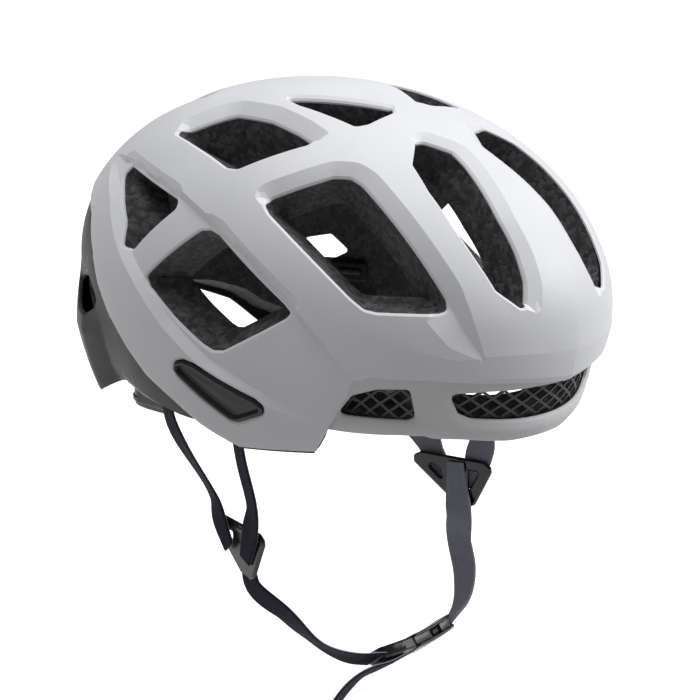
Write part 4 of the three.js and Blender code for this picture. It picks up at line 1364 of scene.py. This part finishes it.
def upper_straps(name, divider, flip):
    out = outwards(divider)
    side = facing(HANGING[name])
    routes = {
        "front": [*flip(FRONT_STRAP), *[on_divider(divider, u, v, UNDER) for u, v in
                                        ((15, 22), (13, 11), (8, -4))]],
        "rear": [*flip(REAR_STRAP), *[on_divider(divider, u, v, OVER) for u, v in
                                      ((-19, 20), (-12, 9), (-4, -1))]],
    }
    for which, route in routes.items():
        piece = f"strap_{which}_{name}"
        slope = side if which == "front" else REAR_SLOPE[name]
        keys = [(0, side), (0.4, side), (0.68, slope), (0.86, out), (1, out)]
        place(strap(piece, route, keys, AT_DIVIDER), "helmet", "webbing", piece)


# ---------------------------------------------------------------- buckle and chin straps
BUCKLE_CENTRE = (18, -31, -125.5)
BUCKLE_RISE = math.radians(5)
BUCKLE_ROLL = math.radians(35)
BUCKLE_HALF = 10
BUCKLE_THICK = 6.6
BUCKLE_ROOM = 3.4  # height of the hollow that takes the tongue and the prongs
TONGUE = 2.6
SIDE_WALLS = ((-2.8, 7.6), (14.6, 20.8))  # along each side, with the prong's window between them
BEND = 0.0035  # the buckle bows towards the chin by this times the distance squared from BEND_MIDDLE
BEND_MIDDLE = 2
buckle_frame = (
    Matrix.Translation(BUCKLE_CENTRE)
    @ Matrix.Rotation(-BUCKLE_RISE, 4, "Y")
    @ Matrix.Rotation(-BUCKLE_ROLL, 4, "X")
)


def in_buckle(x, y, z):
    return tuple(buckle_frame @ Vector((x, y, z)))


def buckle_way(x, y, z):
    return tuple(buckle_frame.to_3x3() @ Vector((x, y, z)))


def bowed(body):
    """Bends a body in the buckle's own frame, then puts it in place. Its outer face is at -Z."""
    points, faces = body
    bent = points.copy()
    bent[:, 2] += BEND * (points[:, 0] - BEND_MIDDLE) ** 2
    return moved((bent, faces), buckle_frame)


def shifted(body, z):
    points, faces = body
    return points + np.array([0, 0, z]), faces


def flipped(body):
    """Turned over, so that the raised face looks along -Z."""
    points, faces = body
    return points * [1, 1, -1], [tuple(reversed(face)) for face in faces]


def dished(height, half):
    """The rise of a face that is highest along its middle."""
    return lambda x, y: height * np.clip(1 - (y / half) ** 2, 0, 1)


def buckle_socket():
    outline = [
        (-2, -10), (20, -10), (25, -7.4), (27, -5), (27, 5), (25, 7.4), (20, 10), (-2, 10), (-3.2, 5.5),
        (-3.2, -5.5),
    ]
    slot = [(21.3, -7.2), (23.6, -6.4), (24.4, 0), (23.6, 6.4), (21.3, 7.2), (22.1, 0)]
    wall = (BUCKLE_THICK - BUCKLE_ROOM) / 2
    side = (BUCKLE_ROOM + wall) / 2
    crown = flat_body(outline, wall, [slot], corner=2.2, roll=0.7, rise=dished(0.7, BUCKLE_HALF))
    base = flat_body(outline, wall, [slot], corner=2.2, roll=0.6)
    root = flat_body([(20.6, -9), (22, -8.6), (22, 8.6), (20.6, 9)], 4.2, corner=0.6, roll=0.3)
    raised_bars = [shifted(flat_body(box(x, x + 1.3, 5.5), 0.9, corner=0.5, roll=0.35),
                           z=side + wall / 2 + 0.45) for x in (4, 7, 10)]
    parts = [flipped(part) for part in (shifted(crown, z=side), root, *raised_bars)]
    parts.append(shifted(base, z=side))
    for y in (0.25 - BUCKLE_HALF, BUCKLE_HALF - 0.25):
        for start, end in SIDE_WALLS:
            upright = flat_body(box(start, end, 1.8), 0.5, corner=0.8, roll=0.15)
            parts.append(moved(upright, axes((0, y, 0), (1, 0, 0), (0, 0, 1), (0, 1, 0))))
    assembled("buckle_socket", [bowed(part) for part in parts], gloss, "helmet", "black_plastic")


def buckle_plug():
    outline = [
        (-2.4, -10), (-2.4, 10), (-10, 10), (-16, 8.6), (-21, 6.5), (-22, 4.5), (-22, -4.5), (-21, -6.5),
        (-16, -8.6), (-10, -10),
    ]
    ladder = [box(x, x + 2.2, 6) for x in (-19, -12.5)]
    depth = BUCKLE_THICK - 1
    body = flat_body(outline, depth, ladder, corner=2, roll=1.0, rise=dished(0.5, 9))
    grip = [shifted(flat_body(box(x, x + 1.1, 4.5), 0.8, corner=0.4, roll=0.3), z=depth / 2 + 0.6)
            for x in (-8.6, -6.4, -4.2)]
    tongue = flat_body([(-3, -2.2), (17.6, -2.2), (18, -1), (18, 1), (17.6, 2.2), (-3, 2.2)], TONGUE,
                       corner=0.8, roll=0.4)
    parts = [*[flipped(part) for part in (body, *grip)], tongue]
    assembled("buckle_plug", [bowed(part) for part in parts], gloss, "buckle_plug", "black_plastic")


def prong(name, side):
    outline = [(-5.4, 5.2), (-5.4, 7.4), (8, 7.2), (9.5, 9.4), (13, 9.2), (18, 6.6), (18, 5), (8, 5.2)]
    body = flat_body([(x, side * y) for x, y in outline], TONGUE, corner=0.8, roll=0.4)
    assembled(name, [bowed(body)], black, name, "black_plastic")


def chin_strap(side, path, last_face):
    divider = DIVIDERS[side]
    out = outwards(divider)
    top = [on_divider(divider, 3, 9, -UNDER), on_divider(divider, 4, -4, -UNDER),
           on_divider(divider, 6, -18, -UNDER - 1)]
    hanging = facing(HANGING[side])
    keys = [(0, out), (0.14, out), (0.3, hanging), (0.62, CHIN_SLOPE[side]), (0.93, last_face),
            (1, last_face)]
    return strap(f"chin_strap_{side}", [*top, *path], keys, FROM_DIVIDER)


PLUG_END = -23.5
SOCKET_END = 27.5
CHIN_RIGHT = [(-58, -26, -91), (-46, -28, -104), (-33, -29.5, -114), (-18, -30.5, -122)]
CHIN_LEFT = [(68, -16, -87), (65, -23, -102), (57, -28.5, -114)]
TAIL = [(-14, -33.5, -130.5), (-23, -32, -135), (-29, -29, -143)]


def chin_straps():
    outer_face = buckle_way(0, 0, -1)
    left = chin_strap("left", [*CHIN_LEFT, in_buckle(SOCKET_END - 2, 0, 0.6)], outer_face)
    place(left, "helmet", "webbing", "chin_strap_left")
    right = chin_strap("right", [*CHIN_RIGHT, in_buckle(PLUG_END + 3, 0, 0.6)], outer_face)
    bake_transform(right)
    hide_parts("chin_strap_right")
    drop = -(BUCKLE_THICK - 1) / 2 - WEB_THICK / 2 - GAP
    tail = strap("strap_tail", [in_buckle(-9, 0, drop), in_buckle(-19, 0, drop), *TAIL],
                 [(0, outer_face), (0.35, outer_face), (0.7, (0.23, -0.85, -0.49)),
                  (1, (0.23, -0.85, -0.49))], [(0, 1), (1, 0.9)], WEB - 1)
    place(tail, "buckle_plug", "webbing", "strap_tail")


# ---------------------------------------------------------------- head ring and fit dial
PIVOT = (-64, -44, 22)
RAIL_X = 50
RAIL_Z = -7
ARM_HEIGHT = 10
ARM_THICK = 1.6
ARM_END = 66
EYE_RADIUS = 7.2
EYE_HOLE = 3.3
ARM_X = PIVOT[0] + 3.5
ARM_PATH = [
    (ARM_X, PIVOT[1] - 6, PIVOT[2]), (ARM_X, PIVOT[1] + 8, PIVOT[2] - 3), (-63, -16, 13),
    (-63, 0, 6), (-60, 16, 0), (-55, 29, -4.5), (-51, 38, -6.6), (-RAIL_X, 45, RAIL_Z),
    (-RAIL_X, 56, RAIL_Z), (-RAIL_X, ARM_END, RAIL_Z),
]


def across_x(x, y, z):
    """Axes for a flat body whose thickness lies along X."""
    return axes((x, y, z), (0, 1, 0), (0, 0, 1), (1, 0, 0))


def cradle_arm(name, side):
    path = [(side * -x, y, z) for x, y, z in ARM_PATH]
    faces = [(side, 0, 0)] * 2
    bar = swept(path, faces, ARM_HEIGHT, ARM_THICK, BAR_SECTION, step=2.5)[:2]
    rib = swept(path[1:-2], faces, ARM_HEIGHT * 0.5, ARM_THICK + 0.9, BAR_SECTION, step=2.5)[:2]
    eye = flat_body(wheel(EYE_RADIUS, 36), ARM_THICK + 0.2, [wheel(EYE_HOLE, 18)], corner=0.01, roll=0.4)
    eye = moved(eye, across_x(side * -ARM_X, PIVOT[1], PIVOT[2]))
    assembled(name, [bar, rib, eye], ring_black, "arms", "ring_plastic")


PLATE_ROLL = 0.5


def chart_plate(azimuths, high, low, lift, depth):
    """A small plate that follows the dome between two heights."""
    outline = np.vstack([
        chart_at(azimuths, polar_at_height(azimuths, high)),
        chart_at(azimuths[::-1], polar_at_height(azimuths, low)[::-1])])
    outline = to_chart(rounded([tuple(p) for p in raised(outline)], 3, 2))
    chart, faces = triangulated(outline, [], outline_lines(outline), 1.2)
    fall = rolled(raised(chart), outline, (), PLATE_ROLL * 2, PLATE_ROLL)
    return thick(chart, faces, raised(chart, lift), raised(chart, lift - depth - fall))


TEMPLE_SPAN = (47, 63)  # azimuths
TEMPLE_HEIGHTS = (30, 11)
# The pin, its head and its screw: radius, depth, points round, roll and how far inside the pivot.
TEMPLE_PIN = [(3, 6.2, 28, 0.5, 2.6), (5, 1.7, 32, 0.6, 5.4), (1.6, 0.9, 6, 0.2, 6.2)]


def temple_anchor(name, side):
    plate = chart_plate(side * np.linspace(*TEMPLE_SPAN, 7), *TEMPLE_HEIGHTS, -LINER - GAP, 3.2)
    parts = [plate]
    for radius, depth, count, roll, inwards in TEMPLE_PIN:
        spot = across_x(side * -(PIVOT[0] + inwards), PIVOT[1], PIVOT[2])
        parts.append(moved(disc(radius, depth, count, roll), spot))
    assembled(name, parts, black, "helmet", "black_plastic")


# Azimuth, top and foot of the plates that hold the straps against the foam.
FRONT_ANCHOR = (87.5, 20, 6)
REAR_ANCHOR = (131, 34, 21)


def strap_anchor(name, side, azimuth, high, low):
    middle = side * azimuth
    plate = chart_plate(np.linspace(middle - 6, middle + 6, 6), high, low, -LINER - GAP, 2.8)
    centre = (high + low) / 2
    bar = chart_plate(np.linspace(middle - 4, middle + 4, 5), centre + 2, centre - 2, -LINER - 2.6, 1.4)
    assembled(name, [plate, bar], black, "helmet", "black_plastic")


CRADLE_THICK = 2.4
CRADLE_HEIGHT = 20
CRADLE_RIB = 2.2
CRADLE_RIB_AT = 6.5
CRADLE_BACK = 101
CRADLE_PATH = [
    (-RAIL_X, 62, RAIL_Z), (-RAIL_X, 78, RAIL_Z), (-47, 87, -7.5), (-37, 95.5, -8.5), (-20, 100, -10),
    (0, CRADLE_BACK, -10),
]
SLEEVE_FROM, SLEEVE_TO = 58, 80
SLEEVE_WIDTH, SLEEVE_HEIGHT = 6.6, 15


def cradle():
    path = CRADLE_PATH + mirror(CRADLE_PATH[:-1])[::-1]
    looks = [(-1, 0, 0), (-1, 0, 0), (-0.7, 0.7, 0), (0, 1, 0), (0.7, 0.7, 0), (1, 0, 0), (1, 0, 0)]
    parts = [swept(path, looks, CRADLE_HEIGHT, CRADLE_THICK, BAR_SECTION)[:2]]
    for drop in (-CRADLE_RIB_AT, CRADLE_RIB_AT):
        line = [(x, y, z + drop) for x, y, z in path]
        parts.append(swept(line, looks, CRADLE_RIB, CRADLE_THICK + 1.2, BAR_SECTION)[:2])
    half_width, room_width = SLEEVE_WIDTH / 2, (ARM_THICK + 2.2) / 2
    for side in (-1, 1):
        sleeve = flat_body(
            box(-half_width, half_width, SLEEVE_HEIGHT / 2), SLEEVE_TO - SLEEVE_FROM,
            [box(-room_width, room_width, (ARM_HEIGHT + 1.2) / 2)], corner=1.4, roll=0.5)
        middle = (side * RAIL_X, (SLEEVE_FROM + SLEEVE_TO) / 2, RAIL_Z)
        parts.append(moved(sleeve, axes(middle, (1, 0, 0), (0, 0, 1), (0, -1, 0))))
    assembled("cradle", parts, ring_black, "cradle", "ring_plastic")


DIAL_Z = -14
DIAL_RADIUS = 17
DIAL_THICK = 8
DIAL_TEETH = 18
TOOTH = 1.1  # depth of the grip's teeth
PINION_RADIUS = 5.4
PINION_TOOTH = 0.8
PINION_TEETH = 8
HOUSING_WIDTH, HOUSING_HEIGHT, HOUSING_DEPTH, HOUSING_Z = 46, 30, 8, -12
HOUSING_CUT = 7  # how far its corners are cut off
HOUSING_FRONT = CRADLE_BACK + CRADLE_THICK / 2 + GAP
HOUSING_BACK = HOUSING_FRONT + HOUSING_DEPTH
DIAL_FRONT = HOUSING_BACK + GAP + 0.2


def facing_back(y, z):
    """Axes for a flat body drawn in X and Z whose raised face looks backwards."""
    return axes((0, y, z), (-1, 0, 0), (0, 0, 1), (0, 1, 0))


def dial_housing():
    w, h, cut = HOUSING_WIDTH / 2, HOUSING_HEIGHT / 2, HOUSING_CUT
    outline = [(cut - w, -h), (w - cut, -h), (w, cut - h), (w, h - cut), (w - cut, h), (cut - w, h),
               (-w, h - cut), (-w, cut - h)]
    case = flat_body(outline, HOUSING_DEPTH, corner=5, roll=1.4)
    case = moved(case, facing_back((HOUSING_FRONT + HOUSING_BACK) / 2, HOUSING_Z))
    assembled("dial_housing", [case], charcoal, "cradle", "dark_shell")


def fit_dial():
    def reach(turn):
        return DIAL_RADIUS - TOOTH + TOOTH * (0.5 + 0.5 * math.cos(turn * DIAL_TEETH)) ** 0.6

    def dish(x, y):
        r = np.hypot(x, y)
        hollow = 1.6 * smooth_step(12.5, 9.5, r)
        return 0.3 * smooth_step(15, 13.5, r) - hollow + 1.0 * smooth_step(6, 4.5, r)

    rings = [joined(np.array(wheel(r, 59))) for r in (4.5, 5.2, 6, 9.5, 11, 12.5, 14)]
    rim = flat_body(wheel(reach, DIAL_TEETH * 6), DIAL_THICK, corner=0.01, roll=1.2, rise=dish,
                    spacing=1.4, lines=rings)
    rim = moved(rim, facing_back(DIAL_FRONT + DIAL_THICK / 2, DIAL_Z))
    axle = moved(disc(3, DIAL_FRONT - HOUSING_FRONT - 4.6, 24),
                 facing_back((DIAL_FRONT + 1 + HOUSING_FRONT + 5.6) / 2, DIAL_Z))
    assembled("dial", [rim, axle], rubber, "dial", "dial_rubber", sharp=45)


def dial_pinion():
    outline = wheel(lambda turn: PINION_RADIUS + PINION_TOOTH * math.cos(turn * PINION_TEETH),
                    PINION_TEETH * 6)
    gear = moved(flat_body(outline, 4.4, corner=0.01, roll=0.3), facing_back(HOUSING_FRONT + 3, DIAL_Z))
    assembled("dial_pinion", [gear], ring_black, "dial", "ring_plastic")


# ---------------------------------------------------------------- pads
PRESSURE = 4
SIM_FRAMES = 20
# The voxel size of each kind of pad, and how far a point may move, in metres.
PAD_VOXEL, PAD_CAP = 0.0032, 0.0016
OCCIPITAL_VOXEL, OCCIPITAL_CAP = 0.0014, 0.0006


def stuffed(obj, voxel, cap):
    """Swells a closed mesh with a short cloth simulation, and keeps each point within cap."""
    remesh = obj.modifiers.new("remesh", "REMESH")
    remesh.mode = "VOXEL"
    remesh.voxel_size = voxel
    apply_modifiers(obj)
    start = [v.co.copy() for v in obj.data.vertices]
    cloth = obj.modifiers.new("cloth", "CLOTH")
    cloth.settings.use_pressure = True
    cloth.settings.uniform_pressure_force = PRESSURE
    cloth.settings.effector_weights.gravity = 0
    cloth.settings.quality = 5
    scene = bpy.context.scene
    scene.frame_start, scene.frame_end = 1, SIM_FRAMES
    for number in range(1, SIM_FRAMES + 1):
        scene.frame_set(number)
    apply_modifiers(obj)
    scene.frame_set(1)
    for vertex, before in zip(obj.data.vertices, start):
        move = vertex.co - before
        if move.length > cap:
            vertex.co = before + move * (cap / move.length)
    smooth = obj.modifiers.new("smooth", "SUBSURF")
    smooth.levels = smooth.render_levels = 1
    apply_modifiers(obj)
    obj.data.shade_smooth()
    return obj


def apply_modifiers(obj):
    graph = bpy.context.evaluated_depsgraph_get()
    mesh = bpy.data.meshes.new_from_object(obj.evaluated_get(graph), depsgraph=graph)
    obj.modifiers.clear()
    old = obj.data
    obj.data = mesh
    bpy.data.meshes.remove(old)


PAD_INSET = 0.9
BROW_PAD_HALF = 36  # degrees to each side of the front
BROW_PAD_TOP = 57
BROW_PAD_FOOT = 36
PAD_LIFT = -LINER - 1.4
PAD_FACE = PAD_LIFT - PAD + 1.2  # the pad swells from here towards the head


def pad_body(name, outline):
    """A pad between the foam and the head, from its outline on the chart."""
    loop = raised(outline)
    outline = to_chart(loop - outward_normals(loop) * PAD_INSET)
    chart, faces = triangulated(outline, [], [], 1.6)
    points, faces = thick(chart, faces, raised(chart, PAD_LIFT), raised(chart, PAD_FACE))
    obj = mesh_object(name, points, faces, knit_look, sharp=180)
    stuffed(obj, PAD_VOXEL, PAD_CAP)
    place(obj, "helmet", "pad_cloth", name)


def brow_pad():
    azimuths = around(-BROW_PAD_HALF, BROW_PAD_HALF, 1.5)
    scallop = BROW_PAD_FOOT + 2.2 * np.abs(np.sin(np.radians(azimuths * 5)))
    pad_body("brow_pad", np.vstack([
        chart_at(azimuths, polar_at_height(azimuths, BROW_PAD_TOP)),
        chart_at(azimuths[::-1], polar_at_height(azimuths, scallop)[::-1])]))


CROWN_CENTRE = [(0, -70, 128), (0, -20, 142), (0, 30, 141), (0, 62, 134)]
CROWN_SIDE = [(-44, -66, 122), (-40, -30, 134), (-37, 10, 137), (-40, 44, 131)]
OCCIPITAL = [(-39, 88.4, -8.5), (-33, 92, -9), (-24, 94.8, -9.5), (-14, 96.2, -10)]
OCCIPITAL_HEIGHT = 13.6
OCCIPITAL_THICK = 2.6
PAD_HALF = 9
PAD_TAPER = 0.35  # how much narrower the crown pads are at their ends
PAD_WAIST = 0.12


def crown_pad(name, route):
    line = centripetal(route, 24)
    along = unit(np.gradient(line, axis=0))
    across = unit(np.cross(along, line - CENTRE))
    share = np.linspace(-1, 1, len(line))
    waist = PAD_WAIST * np.cos(share * 2 * math.pi)
    half = PAD_HALF * (1 - PAD_TAPER * np.abs(share) ** 6 - waist)[:, None]
    outline = to_chart(np.vstack([line + across * half, (line - across * half)[::-1]]))
    pad_body(name, outline)


def occipital_pad(name, side):
    route = [(side * -x, y, z) for x, y, z in OCCIPITAL]
    faces = [(side * 0.7, 0.9, 0), (0, 1, 0)]
    points, quads, _ = swept(route, faces, OCCIPITAL_HEIGHT, OCCIPITAL_THICK, BAR_SECTION)
    obj = mesh_object(name, points, quads, knit_look, sharp=180)
    stuffed(obj, OCCIPITAL_VOXEL, OCCIPITAL_CAP)
    place(obj, "cradle", "pad_cloth", name)


# ---------------------------------------------------------------- the helmet
white_shell()
brow_band()
rear_skin()
foam_liner()
side_pod("side_pod_right", list)
side_pod("side_pod_left", mirror)
for name, (start, end) in NETS.items():
    brow_net(f"brow_net_{name}", start, end)
for name, flip in (("right", list), ("left", mirror)):
    divider = DIVIDERS[name]
    side = divider["side"]
    strap_divider(f"divider_{name}", divider)
    upper_straps(name, divider, flip)
    cradle_arm(f"cradle_arm_{name}", side)
    temple_anchor(f"temple_anchor_{name}", side)
    strap_anchor(f"strap_anchor_front_{name}", -side, *FRONT_ANCHOR)
    strap_anchor(f"strap_anchor_rear_{name}", -side, *REAR_ANCHOR)
    prong(f"prong_{name}", side)
    occipital_pad(f"occipital_pad_{name}", side)
chin_straps()
buckle_socket()
buckle_plug()
cradle()
dial_housing()
fit_dial()
dial_pinion()
brow_pad()
crown_pad("crown_pad_centre", CROWN_CENTRE)
crown_pad("crown_pad_right", CROWN_SIDE)
crown_pad("crown_pad_left", mirror(CROWN_SIDE))

# ---------------------------------------------------------------- stage
FLOOR_HALF = 6000
FLOOR_HEIGHT = -150
FLOOR_GLOW = 0.72
WORLD_FILL = 0.25
# Soft lamps: name, place, the point they look at, length of a side (all in metres) and power.
LAMPS = [
    ("key", (1.1, -1.4, 1.5), (0, 0, 0.05), 1.1, 34),
    ("top", (-0.3, 0.3, 1.9), (0, 0, 0.1), 1.3, 18),
]


def stage_plane():
    corners = [(x, y, FLOOR_HEIGHT) for x, y in box(-FLOOR_HALF, FLOOR_HALF, FLOOR_HALF)]
    look = Look("pale_floor", 0.9, Emission_Color=(1, 1, 1, 1), Emission_Strength=FLOOR_GLOW)
    drift = look.noise(0.6, 2)
    look.colour(look.ramp(drift, (0.3, linear(243, 243, 243)), (0.7, linear(247, 247, 247))))
    floor = mesh_object("floor", corners, [(0, 1, 2, 3)], look.material)
    floor.visible_diffuse = False


def soft_light(name, position, target, size, power):
    data = bpy.data.lights.new(name, "AREA")
    data.shape = "RECTANGLE"
    data.size = data.size_y = size
    data.energy = power
    lamp = bpy.data.objects.new(name, data)
    bpy.context.scene.collection.objects.link(lamp)
    lamp.location = position
    lamp.rotation_euler = (Vector(target) - Vector(position)).to_track_quat("-Z", "Y").to_euler()


def world():
    """A plain white world that the camera sees brighter than it lights the helmet."""
    sky = bpy.data.worlds.new("studio")
    bpy.context.scene.world = sky
    sky.use_nodes = True
    nodes, links = sky.node_tree.nodes, sky.node_tree.links
    either = nodes.new("ShaderNodeMixShader")
    links.new(nodes.new("ShaderNodeLightPath").outputs["Is Camera Ray"], either.inputs[0])
    backgrounds = (nodes["Background"], nodes.new("ShaderNodeBackground"))
    for socket, (background, strength) in enumerate(zip(backgrounds, (WORLD_FILL, 1.0)), start=1):
        background.inputs["Color"].default_value = (1, 1, 1, 1)
        background.inputs["Strength"].default_value = strength
        links.new(background.outputs[0], either.inputs[socket])
    links.new(either.outputs[0], nodes["World Output"].inputs["Surface"])


CAMERA_TARGET = Vector((-43.5, -54.2, 35.3)) * MM
CAMERA_TURN = math.radians(44.5)
CAMERA_RISE = math.radians(15)
CAMERA_DISTANCE = 1.3
CAMERA_LENS = 151.97


def camera():
    data = bpy.data.cameras.new("camera")
    data.lens = CAMERA_LENS
    data.sensor_width = 36
    eye = bpy.data.objects.new("camera", data)
    bpy.context.scene.collection.objects.link(eye)
    way = Vector((
        -math.sin(CAMERA_TURN) * math.cos(CAMERA_RISE),
        -math.cos(CAMERA_TURN) * math.cos(CAMERA_RISE),
        math.sin(CAMERA_RISE),
    ))
    eye.location = CAMERA_TARGET + way * CAMERA_DISTANCE
    eye.rotation_euler = (-way).to_track_quat("-Z", "Y").to_euler()
    bpy.context.scene.camera = eye


stage_plane()
world()
for lamp in LAMPS:
    soft_light(*lamp)
camera()
bpy.context.scene.view_settings.view_transform = "Standard"
